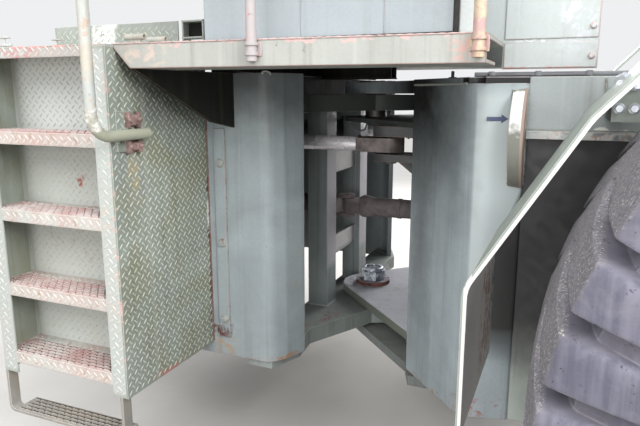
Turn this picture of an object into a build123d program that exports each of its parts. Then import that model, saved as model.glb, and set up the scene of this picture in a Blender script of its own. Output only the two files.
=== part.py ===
from build123d import *
import math
import os

# Centre section of an articulated container handler, in millimetres. X runs forward, Y to the
# machine's left and Z up. The articulation axis stands at X = 0, Y = 0, with the ground at Z = 0.
# Everything is drawn in these machine axes and moved to the centre of the rear flange at the end.

# Rear frame
REAR_X = -1250.0
SIDE_Y = 850.0
SIDE_T = 25.0
FRAME_Z0 = 430.0
FRAME_Z1 = 1530.0
COLUMN_BEND_X = -141.0
COLUMN_FACE = (-98.0, -791.0)
COLUMN_TIP = (-62.0, -698.0)
COLUMN_BEND_R = 60.0
LEFT_SETBACK = 45.0
FLANGE_T = 30.0
FLANGE_BAND = 150.0
FLANGE_BOLT_INSET = 72.0
FLANGE_HOLE_R = 15.0
TOP_PLATE_T = 12.0
CROSS_WALL_X = -1000.0
CROSS_WALL_T = 20.0
WALL_HOLE_R = 120.0

# Hitch: two rear plates between two pairs of front plates
REAR_LOW_Z = (400.0, 470.0)
REAR_UP_Z = (1384.0, 1452.0)
REAR_PLATE_BACK_X = -245.0
REAR_NOSE_R = 240.0
REAR_NOSE_SHOULDER = (-100.0, -560.0)
REAR_NOSE_TANGENT = math.radians(-73.1)
FORK_Z = (345.0, 385.0)
TONGUE_Z = (485.0, 525.0)
UPPER_TONGUE_Z = (1330.0, 1350.0)
TOP_Z = (1487.0, 1505.0)
TOP_NOSE_Z0 = 1457.0
FRONT_NOSE_R = 148.0
FRONT_NOSE_SHOULDER = (317.0, -549.0)
PIN_R = 50.0
RUNNING_GAP = 0.05
PIN_TAIL = 10.0
PIN_CAP_T = 9.0
WASHER_R = 84.0
WASHER_T = 20.0
NUT_FLATS = 104.0
NUT_T = 44.0
STUD_R = 33.0
STUD_PROUD = 10.0

# Lattice that joins the rear plates behind the pivot
POST_X = (-230.0, -135.0)
POST_Y = (172.0, 283.0)
STRIP_X = (-176.0, -161.0)
STRIP_Z = ((683.0, 775.0), (1087.0, 1200.0))

# Front frame
BOX_BACK = (355.0, -690.0)
BOX_CORNER = (603.0, -964.0)
BOX_FRONT = (750.0, -921.0)
BOX_INNER_Y = 655.0
BOX_CORNER_R = 110.0
BOX_BENDS = (1.0, 15.0, BOX_CORNER_R, 15.0, 1.0)
BOX_T = 20.0
BOX_NOTCH_R = 30.0
FRONT_WALL_X = 700.0
FRONT_WALL_T = 25.0
FRONT_WALL_HOLE_R = 150.0
BEAM_X1 = 2300.0
BEAM_Y = 905.0
BEAM_T = 25.0
BEAM_Z0 = 1330.0
LEDGE_W = 40.0
LEDGE_T = 22.0
SADDLE_X = (1480.0, 1950.0)
SADDLE_SLOPE = 60.0
END_T = 30.0
END_Z0 = 1050.0
END_HOLE = (760.0, 150.0)
END_HOLE_R = 17.5
EYE_X = (708.0, 748.0)
EYE_Z = (1180.0, 1475.0)
EYE_REACH = 92.0
EYE_HOLE_R = 22.0
EYE_HOLE = (-960.0, 1380.0)
EYE_ROOT = 4.0

# Steering cylinders
ROD_PIN = (190.0, -400.0)
BARREL_PIN = (-930.0, -430.0)
CYL_Z = 1253.0
ROD_R = 30.0
BARREL_R = 58.0
BARREL_LENGTH = 705.0
BARREL_START = 85.0
BORE_START = 115.0
ROD_START = 390.0
GLAND_R = 66.0
GLAND_T = 60.0
EYE_HEIGHT = 56.0
ROD_EYE_R = 58.0
ROD_EYE_BACK = 130.0
CYL_PIN_R = 27.0
CLEVIS_GAP = 7.0
CLEVIS_LOW_T = 29.0
CLEVIS_R = 70.0
CLEVIS_SLOPE = 0.77
CLEVIS_WEB_T = 16.0
CLEVIS_WEB_IN = 30.0
CYL_PIN_PROUD = 12.0
BARREL_NECK = (20.0, 95.0)
BARREL_NECK_HALF = 35.0

# Driveshaft
SHAFT_Z = 910.0
SHAFT_R = 46.0
SHAFT_JOINT_X = -130.0
SHAFT_FRONT_X = 600.0
YOKE_HALF = 60.0
YOKE_EAR_T = 16.0
YOKE_EAR_HALF = 28.0
YOKE_BACK_HALF = 55.0
YOKE_BACK_T = 18.0
YOKE_GAP = 2.0
CROSS_HALF = 36.0
CROSS_R = 30.0
SHAFT_PIN_R = 18.0
REAR_SHAFT_X0 = -1150.0
BEARING_T = 40.0
BEARING_BAND = 40.0
FRONT_FLANGE_T = 30.0
FRONT_SHAFT_GAP = 20.0

# Boarding ladder box
LADDER_Y = -1359.0
LADDER_X = (-950.0, -395.0)
LADDER_PLATE = 6.0
LADDER_Z0 = 478.0
LANDING_Z = 1600.0
STRINGER_W = 62.0
NOSE_H = 41.0
TREAD_DEPTH = 155.0
NOSE_Z = (1566.0, 1295.0, 1035.0, 770.0, 517.0)
STIRRUP_Z = 328.0
STIRRUP_BAR = (40.0, 10.0)
STIRRUP_IN = 24.0
STIRRUP_BEND = 26.0
STIRRUP_DEPTH = 95.0
UPSTAND_Y = -1000.0
UPSTAND_H = 100.0

# Deck, gusset and cab base
DECK_REAR = (-395.0, -1322.0)
DECK_FRONT = (668.0, -1245.0)
DECK_FAR_Y = 700.0
DECK_LOW_X = -341.0
DECK_CUT_Y = -1120.0
DECK_Z = (1530.0, 1602.0)
DECK_T = 12.0
DECK_FLANGE_W = 180.0
DECK_FLANGE_T = 10.0
GUSSET_LINE = ((-341.0, -1318.0), (-283.0, -850.0))
GUSSET_KNEE = (0.732, 1360.0)
GUSSET_LOW_Z = 1335.0
GUSSET_T = 12.0
BEAM_UNDER_X = (-380.0, -265.0)
CAB_X = (-155.0, 589.0)
CAB_Y = (-1200.0, 660.0)
CAB_WALL = 40.0
CAB_TOP = 2000.0
WING_X1 = 922.0
WING_Y = -905.0
WING_Z0 = 1527.0
WING_T = 12.0
POST_XS = (60.0, 652.0)
RAIL_POST_R = 15.0
RAIL_Z0 = 1542.0
GRAB_XY = (-360.0, -1468.0)
GRAB_R = 16.5
GRAB_LOW_Z = 1335.0
GRAB_END_Y = -1229.0
GRAB_BEND = 70.0
BRACKET_Y = (-1339.0, -1259.0)
BRACKET_Z = (1283.0, 1405.0)
BRACKET_T = 8.0
BRACKET_ARM_HALF = 20.0
EDGE_STRIP_X = (-362.0, -316.0)
EDGE_STRIP_Z = (510.0, 1330.0)
EDGE_STRIP_T = 8.0
STRIP_BOLT_Z = (1202.0, 893.0, 584.0)
STRIP_BOLT_R = 11.0
STRIP_BOLT_T = 8.0

# Fenders: each corner is an angle about the axle, in degrees, and its clearance beyond the tyre
FENDER_Y = (-1515.0, -1010.0)
FENDER_T = 12.0
FENDER_CORNERS = (
    (190.38, 156.0), (170.93, 152.0), (146.68, 75.4), (117.8, 117.3), (96.43, 127.3), (79.44, 138.3))
LOW_STAY_X = (950.0, 1010.0)
HIGH_STAY_X = (1540.0, 1600.0)
STAY_Y = -1270.0
STAY_DEPTH = 110.0
STAY_W = 60.0
STAY_IN = 10.0
STAY_ROOM = 300.0
FENDER_BENDS = (80.0, 120.0, 200.0, 300.0)

# Axle and wheels
AXLE_X = 1713.0
TYRE_R = 882.0
TREAD_HALF = 275.0
TYRE_HALF = 300.0
WHEEL_Y = 1595.0
BEAD_R = 335.0
BEAD_W = 45.0
TYRE_WALL = 35.0
TREAD_T = 85.0
HOLLOW_FACETS = 20
HOLLOW_REACH = 20.0
CROWN_DROP = 19.0
CROWN_SHARE = 0.55
LUGS = 44
GROOVE_W = (62.0, 320.0)
GROOVE_DEPTH = 72.0
GROOVE_HALF = 22.0
GROOVE_SHIFT = 70.0
RIM_HALF = 245.0
RIM_WALL = 14.0
DISC_T = 30.0
DISC_OFFSET = 60.0
HUB_R = 210.0
HUB_OUT = 150.0
HUB_GAP = 20.0
SPINDLE_GAP = 10.0
SPINDLE_R = 100.0
SPINDLE_OUT = 90.0
AXLE_TUBE_R = 130.0
AXLE_BULGE_R = 290.0
AXLE_BULGE_HALF = 330.0
AXLE_FACE_Y = 1270.0
PAD_HALF = 190.0
PAD_T = 40.0
PAD_Y = (-90.0, 30.0)
SEAT_GAP = 0.3
SHOULDER_SHARE = 0.475
FLEX_SHARE = 0.8

FENDER_XZ = [(AXLE_X + (TYRE_R + clear) * math.cos(math.radians(angle)),
              TYRE_R + (TYRE_R + clear) * math.sin(math.radians(angle))) for angle, clear in FENDER_CORNERS]
ORIGIN = (REAR_X, 0.0, (FRAME_Z0 + FRAME_Z1) / 2)


def block(x, y, z):
    """A box between two values on each axis."""
    size = [abs(pair[1] - pair[0]) for pair in (x, y, z)]
    centre = [(pair[0] + pair[1]) / 2 for pair in (x, y, z)]
    return Pos(*centre) * Box(*size)


def slab(points, z):
    """A flat plate: an outline in X and Y between two heights."""
    return Pos(0, 0, z[0]) * extrude(make_face(Polyline(*points, close=True)), z[1] - z[0])


def profile_xz(points, y):
    """A plate on edge: an outline in X and Z between two values of Y."""
    face = make_face(Polyline(*[(px, 0, pz) for px, pz in points], close=True))
    return Pos(0, y[0], 0) * extrude(face, y[1] - y[0], dir=(0, 1, 0))


def upright(x, y, z, r):
    """A vertical round bar."""
    return Pos(x, y, (z[0] + z[1]) / 2) * Cylinder(r, z[1] - z[0])


def along_x(x, y, z, r):
    """A round bar along X."""
    return Pos((x[0] + x[1]) / 2, y, z) * Rot(0, 90, 0) * Cylinder(r, x[1] - x[0])


def along_y(x, y, z, r):
    """A round bar along Y."""
    return Pos(x, (y[0] + y[1]) / 2, z) * Rot(90, 0, 0) * Cylinder(r, abs(y[1] - y[0]))


def bent_plate(points, bend, thickness, z):
    """A plate bent along an open line in X and Y, its thickness to the left of the line."""
    line = FilletPolyline(*points, radius=bend)
    band = make_face(offset(line, amount=thickness, side=Side.LEFT))
    return Pos(0, 0, z[0]) * extrude(band, z[1] - z[0])


def other_side(shape):
    """The same piece on the machine's left."""
    return mirror(shape, about=Plane.XZ)


def group(*shapes):
    """Like pieces that share a node without touching."""
    solids = []
    for shape in shapes:
        solids += shape.solids()
    return Compound(solids)


def rear_side_plate():
    corner = (COLUMN_BEND_X, -SIDE_Y)
    points = ((REAR_X + FLANGE_T, -SIDE_Y), corner, COLUMN_FACE, COLUMN_TIP)
    return bent_plate(points, (COLUMN_BEND_R, COLUMN_BEND_R), SIDE_T, (FRAME_Z0, FRAME_Z1))


def left_side_plate():
    return Pos(-LEFT_SETBACK, 0, 0) * other_side(rear_side_plate()) & block(
        (REAR_X + FLANGE_T, 0), (0, SIDE_Y + 1), (FRAME_Z0, FRAME_Z1))


def rear_flange():
    plate = block((REAR_X, REAR_X + FLANGE_T), (-SIDE_Y, SIDE_Y), (FRAME_Z0, FRAME_Z1))
    plate -= block((REAR_X - 1, REAR_X + FLANGE_T + 1), (FLANGE_BAND - SIDE_Y, SIDE_Y - FLANGE_BAND),
                   (FRAME_Z0 + FLANGE_BAND, FRAME_Z1 - FLANGE_BAND))
    for y in (FLANGE_BOLT_INSET - SIDE_Y, SIDE_Y - FLANGE_BOLT_INSET):
        for z in (FRAME_Z0 + FLANGE_BOLT_INSET, FRAME_Z1 - FLANGE_BOLT_INSET):
            plate -= along_x((REAR_X - 1, REAR_X + FLANGE_T + 1), y, z, FLANGE_HOLE_R)
    return plate


def cross_wall():
    inner = SIDE_Y - SIDE_T
    x = (CROSS_WALL_X - CROSS_WALL_T, CROSS_WALL_X)
    wall = block(x, (-inner, inner), (FRAME_Z0, FRAME_Z1 - TOP_PLATE_T))
    return wall - along_x((x[0] - 1, x[1] + 1), 0, SHAFT_Z, WALL_HOLE_R)


def rear_top_plate():
    inner = SIDE_Y - SIDE_T
    return block((REAR_X + FLANGE_T, BEAM_UNDER_X[0]), (-inner, inner), (FRAME_Z1 - TOP_PLATE_T, FRAME_Z1))


def rear_hitch_plate(z, sides):
    """One rear plate: it fills the frame's width and rounds to a nose about the pivot."""
    middle = SIDE_Y - SIDE_T / 2
    shoulder_x, shoulder_y = REAR_NOSE_SHOULDER
    edge = [(REAR_PLATE_BACK_X, -middle), (COLUMN_BEND_X, -middle), (COLUMN_TIP[0] - SIDE_T, COLUMN_TIP[1]),
            (shoulder_x, shoulder_y),
            (REAR_NOSE_R * math.cos(REAR_NOSE_TANGENT), REAR_NOSE_R * math.sin(REAR_NOSE_TANGENT))]
    mirrored = [(x, -y) for x, y in reversed(edge)]
    nose = upright(0, 0, z, REAR_NOSE_R)
    plate = slab(edge + mirrored, z) + nose
    plate -= upright(0, 0, (z[0] - 1, z[1] + 1), PIN_R + RUNNING_GAP)
    for side in sides:
        plate -= side
    return max(plate.solids(), key=lambda solid: solid.volume)


def hitch_lattice():
    frame = Part()
    height = (REAR_LOW_Z[1], REAR_UP_Z[0])
    for y in (POST_Y, (-POST_Y[1], -POST_Y[0])):
        frame += block(POST_X, y, height)
    for z in STRIP_Z:
        frame += block(STRIP_X, (-POST_Y[0], POST_Y[0]), z)
    return frame


def front_outline():
    """Right half of the front hitch plates, from the nose's tangent point to the box."""
    reach = math.hypot(*FRONT_NOSE_SHOULDER)
    turn = math.atan2(FRONT_NOSE_SHOULDER[1], FRONT_NOSE_SHOULDER[0]) - math.acos(FRONT_NOSE_R / reach)
    return (FRONT_NOSE_R * math.cos(turn), FRONT_NOSE_R * math.sin(turn))


def front_hitch_plate(z, half_width, front_x):
    start = front_outline()
    edge = [start, FRONT_NOSE_SHOULDER, (BOX_BACK[0], -half_width), (front_x, -half_width)]
    mirrored = [(x, -y) for x, y in reversed(edge)]
    return slab(edge + mirrored, z) + upright(0, 0, z, FRONT_NOSE_R)


def box_outline():
    return (BOX_BACK[0], -BOX_INNER_Y), BOX_BACK, BOX_CORNER, BOX_FRONT, (BOX_FRONT[0], -BOX_INNER_Y)


def front_box():
    corners = box_outline()
    line = FilletPolyline(*corners, radius=BOX_BENDS, close=True)
    face = make_face(line)
    ring = face - offset(face, amount=-BOX_T)
    return Pos(0, 0, FRAME_Z0) * extrude(ring, TOP_Z[0] - FRAME_Z0)


def top_plate():
    corners = box_outline()
    start = front_outline()
    edge = [start, FRONT_NOSE_SHOULDER, corners[1], corners[2], corners[3]]
    mirrored = [(x, -y) for x, y in reversed(edge)]
    plate = slab(edge + mirrored, TOP_Z) + upright(0, 0, TOP_Z, FRONT_NOSE_R)
    plate += front_hitch_plate((TOP_NOSE_Z0, TOP_Z[0]), BOX_INNER_Y, FRONT_WALL_X)
    corner_block = upright(BOX_CORNER[0], BOX_CORNER[1], TOP_Z, BOX_NOTCH_R)
    corner_block += other_side(corner_block)
    return plate - corner_block - upright(0, 0, (TOP_NOSE_Z0 - 1, TOP_Z[1] + 1), PIN_R)


def pinned(plate, z):
    """A front plate with the hole that its pin is pressed into."""
    return plate - upright(0, 0, (z[0] - 1, z[1] + 1), PIN_R)


def front_wall():
    x = (FRONT_WALL_X, FRONT_WALL_X + FRONT_WALL_T)
    wall = block(x, (-BOX_INNER_Y, BOX_INNER_Y), (FORK_Z[0], TOP_Z[0]))
    return wall - along_x((x[0] - 1, x[1] + 1), 0, SHAFT_Z, FRONT_WALL_HOLE_R)


def front_beam():
    """Right side beam: a deep plate with a ledge, and the saddle plate that stands on the axle."""
    pad_top = TYRE_R + AXLE_TUBE_R + PAD_T
    outline = [(BOX_FRONT[0], BEAM_Z0), (SADDLE_X[0], BEAM_Z0), (SADDLE_X[0] + SADDLE_SLOPE, pad_top),
               (SADDLE_X[1] - SADDLE_SLOPE, pad_top), (SADDLE_X[1], BEAM_Z0), (BEAM_X1 - END_T, BEAM_Z0),
               (BEAM_X1 - END_T, TOP_Z[1]), (BOX_FRONT[0], TOP_Z[1])]
    beam = profile_xz(outline, (-BEAM_Y, BEAM_T - BEAM_Y))
    ledge = block((BOX_FRONT[0], SADDLE_X[0]), (-BEAM_Y - LEDGE_W, -BEAM_Y), (BEAM_Z0, BEAM_Z0 + LEDGE_T))
    return beam + ledge


def front_end_plate():
    plate = block((BEAM_X1 - END_T, BEAM_X1), (-BEAM_Y, BEAM_Y), (END_Z0, TOP_Z[1]))
    for y in (-END_HOLE[0], END_HOLE[0]):
        for z in (-END_HOLE[1], END_HOLE[1]):
            plate -= along_x((BEAM_X1 - END_T - 1, BEAM_X1 + 1), y, (END_Z0 + TOP_Z[1]) / 2 + z, END_HOLE_R)
    return plate


def lift_eye():
    middle = (EYE_Z[0] + EYE_Z[1]) / 2
    reach_y = BOX_FRONT[1] - EYE_REACH
    base_y = BOX_FRONT[1] + EYE_ROOT
    path = Polyline((0, base_y, EYE_Z[1]), (0, base_y, EYE_Z[0]))
    curve = ThreePointArc((0, base_y, EYE_Z[0]), (0, reach_y, middle), (0, base_y, EYE_Z[1]))
    face = make_face(path + curve)
    eye = Pos(EYE_X[0], 0, 0) * extrude(face, EYE_X[1] - EYE_X[0], dir=(1, 0, 0))
    hole = along_x((EYE_X[0] - 1, EYE_X[1] + 1), EYE_HOLE[0], EYE_HOLE[1], EYE_HOLE_R)
    return eye - hole - front_box()


def cylinder_heading():
    dx = ROD_PIN[0] - BARREL_PIN[0]
    dy = ROD_PIN[1] - BARREL_PIN[1]
    return math.hypot(dx, dy), math.degrees(math.atan2(dy, dx))


def placed_cylinder(shape):
    """Puts a shape drawn along X from the barrel's pin into its place on the right."""
    return Pos(BARREL_PIN[0], BARREL_PIN[1], CYL_Z) * Rot(0, 0, cylinder_heading()[1]) * shape


def barrel():
    tube = along_x((BARREL_START, BARREL_LENGTH), 0, 0, BARREL_R)
    tube += along_x((BARREL_LENGTH - GLAND_T, BARREL_LENGTH), 0, 0, GLAND_R)
    eye_z = (-EYE_HEIGHT / 2, EYE_HEIGHT / 2)
    tube += Cylinder(ROD_EYE_R, EYE_HEIGHT)
    tube += block(BARREL_NECK, (-BARREL_NECK_HALF, BARREL_NECK_HALF), eye_z)
    tube -= Cylinder(CYL_PIN_R + RUNNING_GAP, EYE_HEIGHT + 2)
    return placed_cylinder(tube - along_x((BORE_START, BARREL_LENGTH + 1), 0, 0, ROD_R + RUNNING_GAP))


def rod():
    length = cylinder_heading()[0]
    end = length - ROD_EYE_BACK
    bar = along_x((ROD_START, end), 0, 0, ROD_R)
    head = block((end, length), (-ROD_EYE_R, ROD_EYE_R), (-EYE_HEIGHT / 2, EYE_HEIGHT / 2))
    head += Pos(length, 0, 0) * Cylinder(ROD_EYE_R, EYE_HEIGHT)
    return placed_cylinder(bar + head)


def cylinder_anchor():
    """Right anchor: two ears on the cross wall with the pin that carries the barrel."""
    ears = Part()
    x, y = BARREL_PIN
    half = EYE_HEIGHT / 2 + CLEVIS_GAP
    for low in (CYL_Z - half - CLEVIS_LOW_T, CYL_Z + half):
        z = (low, low + CLEVIS_LOW_T)
        ears += block((CROSS_WALL_X, x), (y - CLEVIS_R, y + CLEVIS_R), z) + upright(x, y, z, CLEVIS_R)
    reach = half + CLEVIS_LOW_T + CYL_PIN_PROUD
    return ears + upright(x, y, (CYL_Z - reach, CYL_Z + reach), CYL_PIN_R)


def steering_clevis():
    """Right bracket on the front frame: a boss above the rod's eye, a plate below it and its gusset."""
    x, y = ROD_PIN
    above = CYL_Z + EYE_HEIGHT / 2 + CLEVIS_GAP
    below = CYL_Z - EYE_HEIGHT / 2 - CLEVIS_GAP
    boss = upright(x, y, (above, UPPER_TONGUE_Z[0]), CLEVIS_R)
    boss += block((x, FRONT_WALL_X), (y - CLEVIS_R, y + CLEVIS_R), (above, UPPER_TONGUE_Z[0]))
    plate_z = (below - CLEVIS_LOW_T, below)
    plate = upright(x, y, plate_z, CLEVIS_R)
    plate += block((x, FRONT_WALL_X), (y - CLEVIS_R, y + CLEVIS_R), plate_z)
    web_x = x + CLEVIS_WEB_IN
    drop = (FRONT_WALL_X - web_x) * CLEVIS_SLOPE
    corners = [(web_x, plate_z[0]), (FRONT_WALL_X, plate_z[0] - drop), (FRONT_WALL_X, plate_z[0])]
    web = profile_xz(corners, (y - CLEVIS_WEB_T / 2, y + CLEVIS_WEB_T / 2))
    retainer = upright(x, y, (plate_z[0] - CYL_PIN_PROUD, plate_z[0]), CYL_PIN_R)
    return group(boss, plate + web + retainer)


def hitch_pin_lower():
    pin = upright(0, 0, (FORK_Z[0] - PIN_TAIL, TONGUE_Z[1]), PIN_R)
    pin += upright(0, 0, (TONGUE_Z[1], TONGUE_Z[1] + WASHER_T), WASHER_R)
    nut_z = TONGUE_Z[1] + WASHER_T
    nut = Pos(0, 0, nut_z) * extrude(RegularPolygon(NUT_FLATS / 2, 6, major_radius=False), NUT_T)
    return pin + nut + upright(0, 0, (nut_z, nut_z + NUT_T + STUD_PROUD), STUD_R)


def hitch_pin_upper():
    pin = upright(0, 0, (UPPER_TONGUE_Z[0] - PIN_TAIL, TOP_Z[1]), PIN_R)
    return pin + upright(0, 0, (TOP_Z[1], TOP_Z[1] + PIN_CAP_T), WASHER_R)


def driveshaft():
    """Middle shaft: a tube with a cross block at the rear joint and a yoke at its front end."""
    tube = along_x((SHAFT_JOINT_X + YOKE_HALF, SHAFT_FRONT_X), 0, SHAFT_Z, SHAFT_R)
    z = (SHAFT_Z - CROSS_HALF, SHAFT_Z + CROSS_HALF)
    neck = block((SHAFT_JOINT_X, SHAFT_JOINT_X + YOKE_HALF), (-CROSS_R, CROSS_R), z)
    cross = upright(SHAFT_JOINT_X, 0, z, CROSS_R)
    hole = upright(SHAFT_JOINT_X, 0, (z[0] - 1, z[1] + 1), SHAFT_PIN_R + RUNNING_GAP)
    return tube + neck + cross - hole


def rear_shaft():
    """Rear shaft with the fork and pin that carry the middle shaft."""
    ear_back = SHAFT_JOINT_X - YOKE_HALF
    inner = CROSS_HALF + YOKE_GAP
    outer = inner + YOKE_EAR_T
    fork = along_x((REAR_SHAFT_X0, ear_back), 0, SHAFT_Z, SHAFT_R)
    fork += block((ear_back - YOKE_BACK_T, ear_back), (-YOKE_BACK_HALF, YOKE_BACK_HALF),
                  (SHAFT_Z - outer, SHAFT_Z + outer))
    for z in ((SHAFT_Z - outer, SHAFT_Z - inner), (SHAFT_Z + inner, SHAFT_Z + outer)):
        fork += block((ear_back, SHAFT_JOINT_X), (-YOKE_EAR_HALF, YOKE_EAR_HALF), z)
        fork += upright(SHAFT_JOINT_X, 0, z, YOKE_EAR_HALF)
    fork += upright(SHAFT_JOINT_X, 0, (SHAFT_Z - outer, SHAFT_Z + outer), SHAFT_PIN_R)
    return fork + along_x((CROSS_WALL_X, CROSS_WALL_X + BEARING_T), 0, SHAFT_Z, WALL_HOLE_R + BEARING_BAND)


def front_shaft():
    """Front shaft: the flange on the front wall that the middle shaft drives, and its run to the axle."""
    flange_x = (FRONT_WALL_X - FRONT_FLANGE_T, FRONT_WALL_X)
    flange = along_x(flange_x, 0, SHAFT_Z, FRONT_WALL_HOLE_R + FRONT_FLANGE_T)
    run = (flange_x[0] - FRONT_SHAFT_GAP, AXLE_X - AXLE_BULGE_R - FRONT_SHAFT_GAP)
    return flange + along_x(run, 0, SHAFT_Z, SHAFT_R)


def ladder_box():
    """Tread-plate box: two side panels, the recess wall behind the treads, and the wall on the frame."""
    z = (LADDER_Z0, LANDING_Z - LADDER_PLATE)
    y = (LADDER_Y, -SIDE_Y)
    wall = LADDER_Y + TREAD_DEPTH
    shell = block((LADDER_X[1] - LADDER_PLATE, LADDER_X[1]), y, z)
    shell += block((LADDER_X[0], LADDER_X[0] + LADDER_PLATE), y, z)
    shell += block(LADDER_X, (wall, wall + LADDER_PLATE), z)
    for x in (LADDER_X[0], LADDER_X[1] - STRINGER_W):
        shell += block((x, x + STRINGER_W), (LADDER_Y, LADDER_Y + LADDER_PLATE), z)
    return shell


def ladder_landing():
    plate = block(LADDER_X, (LADDER_Y, -SIDE_Y), (LANDING_Z - LADDER_PLATE, LANDING_Z))
    upstand = (UPSTAND_Y, UPSTAND_Y + LADDER_PLATE)
    return plate + block(LADDER_X, upstand, (LANDING_Z, LANDING_Z + UPSTAND_H))


def ladder_treads():
    treads = []
    x = (LADDER_X[0] + LADDER_PLATE, LADDER_X[1] - LADDER_PLATE)
    inner = (LADDER_X[0] + STRINGER_W, LADDER_X[1] - STRINGER_W)
    for z in NOSE_Z:
        top = min(z + NOSE_H, LANDING_Z - LADDER_PLATE)
        face = block(inner, (LADDER_Y, LADDER_Y + LADDER_PLATE), (z, top))
        plate = block(x, (LADDER_Y + LADDER_PLATE, LADDER_Y + TREAD_DEPTH), (top - LADDER_PLATE, top))
        treads.append(face + plate)
    return group(*treads)


def ladder_stirrup():
    """Flat bar bent into a loop under the box, with a step plate in its bottom."""
    width, thick = STIRRUP_BAR
    x0, x1 = LADDER_X[0], LADDER_X[1] - STIRRUP_IN
    low = STIRRUP_Z - thick
    line = FilletPolyline((x0, LADDER_Z0), (x0, low), (x1, low), (x1, LADDER_Z0), radius=STIRRUP_BEND)
    band = make_face(offset(line, amount=thick, side=Side.LEFT))
    loop = Pos(0, LADDER_Y + width, 0) * Rot(90, 0, 0) * extrude(band, width)
    step_x = (x0 + STIRRUP_BEND, x1 - STIRRUP_BEND)
    return loop + block(step_x, (LADDER_Y, LADDER_Y + STIRRUP_DEPTH), (low, STIRRUP_Z))


def deck_edge_y(x):
    """The deck narrows towards the front: its right edge at a given X."""
    share = (x - DECK_REAR[0]) / (DECK_FRONT[0] - DECK_REAR[0])
    return DECK_REAR[1] + share * (DECK_FRONT[1] - DECK_REAR[1])


def deck():
    """Thin deck plate with a deep channel along its right edge, cut back under its rear end."""
    rear, front = DECK_REAR, DECK_FRONT
    outline = [rear, front, (front[0], DECK_FAR_Y), (rear[0], DECK_FAR_Y)]
    plate = slab(outline, (DECK_Z[1] - DECK_T, DECK_Z[1]))
    edge = slab([rear, front, (front[0], front[1] + DECK_T), (rear[0], rear[1] + DECK_T)], DECK_Z)
    flange = slab([rear, front, (front[0], front[1] + DECK_FLANGE_W), (rear[0], rear[1] + DECK_FLANGE_W)],
                  (DECK_Z[0], DECK_Z[0] + DECK_FLANGE_T))
    under = DECK_Z[1] - DECK_T
    corners = [(rear[0] - 1, under), (rear[0], under), (DECK_LOW_X, DECK_Z[0]), (DECK_LOW_X, DECK_Z[0] - 1),
               (rear[0] - 1, DECK_Z[0] - 1)]
    cut = profile_xz(corners, (rear[1] - 1, DECK_CUT_Y))
    return plate + (edge + flange - cut)


def gusset():
    (x0, y0), (x1, y1) = GUSSET_LINE
    knee = (x0 + GUSSET_KNEE[0] * (x1 - x0), y0 + GUSSET_KNEE[0] * (y1 - y0), GUSSET_KNEE[1])
    line = Polyline((x0, y0, DECK_Z[0]), knee, (x1, y1, GUSSET_LOW_Z), (x1, y1, DECK_Z[0]), close=True)
    return extrude(make_face(line), GUSSET_T, dir=Vector(y1 - y0, x0 - x1, 0).normalized())


def deck_beam():
    return block(BEAM_UNDER_X, (-SIDE_Y + SIDE_T, SIDE_Y - SIDE_T), (REAR_UP_Z[1], DECK_Z[1] - DECK_T))


def cab_walls():
    z = (DECK_Z[1], CAB_TOP)
    right = block(CAB_X, (CAB_Y[0], CAB_Y[0] + CAB_WALL), z)
    left = block(CAB_X, (CAB_Y[1] - CAB_WALL, CAB_Y[1]), z)
    inner = (CAB_Y[0] + CAB_WALL, CAB_Y[1] - CAB_WALL)
    front = block((CAB_X[1] - CAB_WALL, CAB_X[1]), inner, z)
    rear = block((CAB_X[0], CAB_X[0] + CAB_WALL), inner, z)
    return right, left, front, rear


def wing_plate():
    return block((CAB_X[1], WING_X1), (WING_Y, WING_Y + WING_T), (WING_Z0, CAB_TOP)) - block(
        (CAB_X[1] - 1, DECK_FRONT[0]), (WING_Y - 1, WING_Y + WING_T + 1), (WING_Z0 - 1, DECK_Z[1]))


def rail_posts():
    posts = []
    for x in POST_XS:
        posts.append(upright(x, deck_edge_y(x) - RAIL_POST_R - SEAT_GAP, (RAIL_Z0, CAB_TOP), RAIL_POST_R))
    return group(*posts)


def grab_rail():
    x, y = GRAB_XY
    path = FilletPolyline((x, y, CAB_TOP), (x, y, GRAB_LOW_Z), (x, GRAB_END_Y, GRAB_LOW_Z), radius=GRAB_BEND)
    section = Plane(origin=path @ 0, z_dir=path % 0) * Circle(GRAB_R)
    return sweep(section, path)


def rail_bracket():
    x = GRAB_XY[0] - GRAB_R
    plate = block((LADDER_X[1], LADDER_X[1] + BRACKET_T), BRACKET_Y, BRACKET_Z)
    middle = (BRACKET_Y[0] + BRACKET_Y[1]) / 2
    half = BRACKET_ARM_HALF
    arm_z = (GRAB_LOW_Z - half, GRAB_LOW_Z + half)
    return plate + block((LADDER_X[1], x), (middle - half, middle + half), arm_z)


def edge_strip():
    strip = block(EDGE_STRIP_X, (-SIDE_Y - EDGE_STRIP_T, -SIDE_Y), EDGE_STRIP_Z)
    for z in STRIP_BOLT_Z:
        x = (EDGE_STRIP_X[0] + EDGE_STRIP_X[1]) / 2
        strip += along_y(x, (-SIDE_Y - EDGE_STRIP_T - STRIP_BOLT_T, -SIDE_Y - EDGE_STRIP_T), z, STRIP_BOLT_R)
    return strip


def fender():
    line = FilletPolyline(*FENDER_XZ, radius=FENDER_BENDS)
    band = make_face(offset(line, amount=FENDER_T, side=Side.LEFT))
    sheet = extrude(band, FENDER_Y[1] - FENDER_Y[0])
    return Pos(0, FENDER_Y[1], 0) * Rot(90, 0, 0) * sheet


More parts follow.
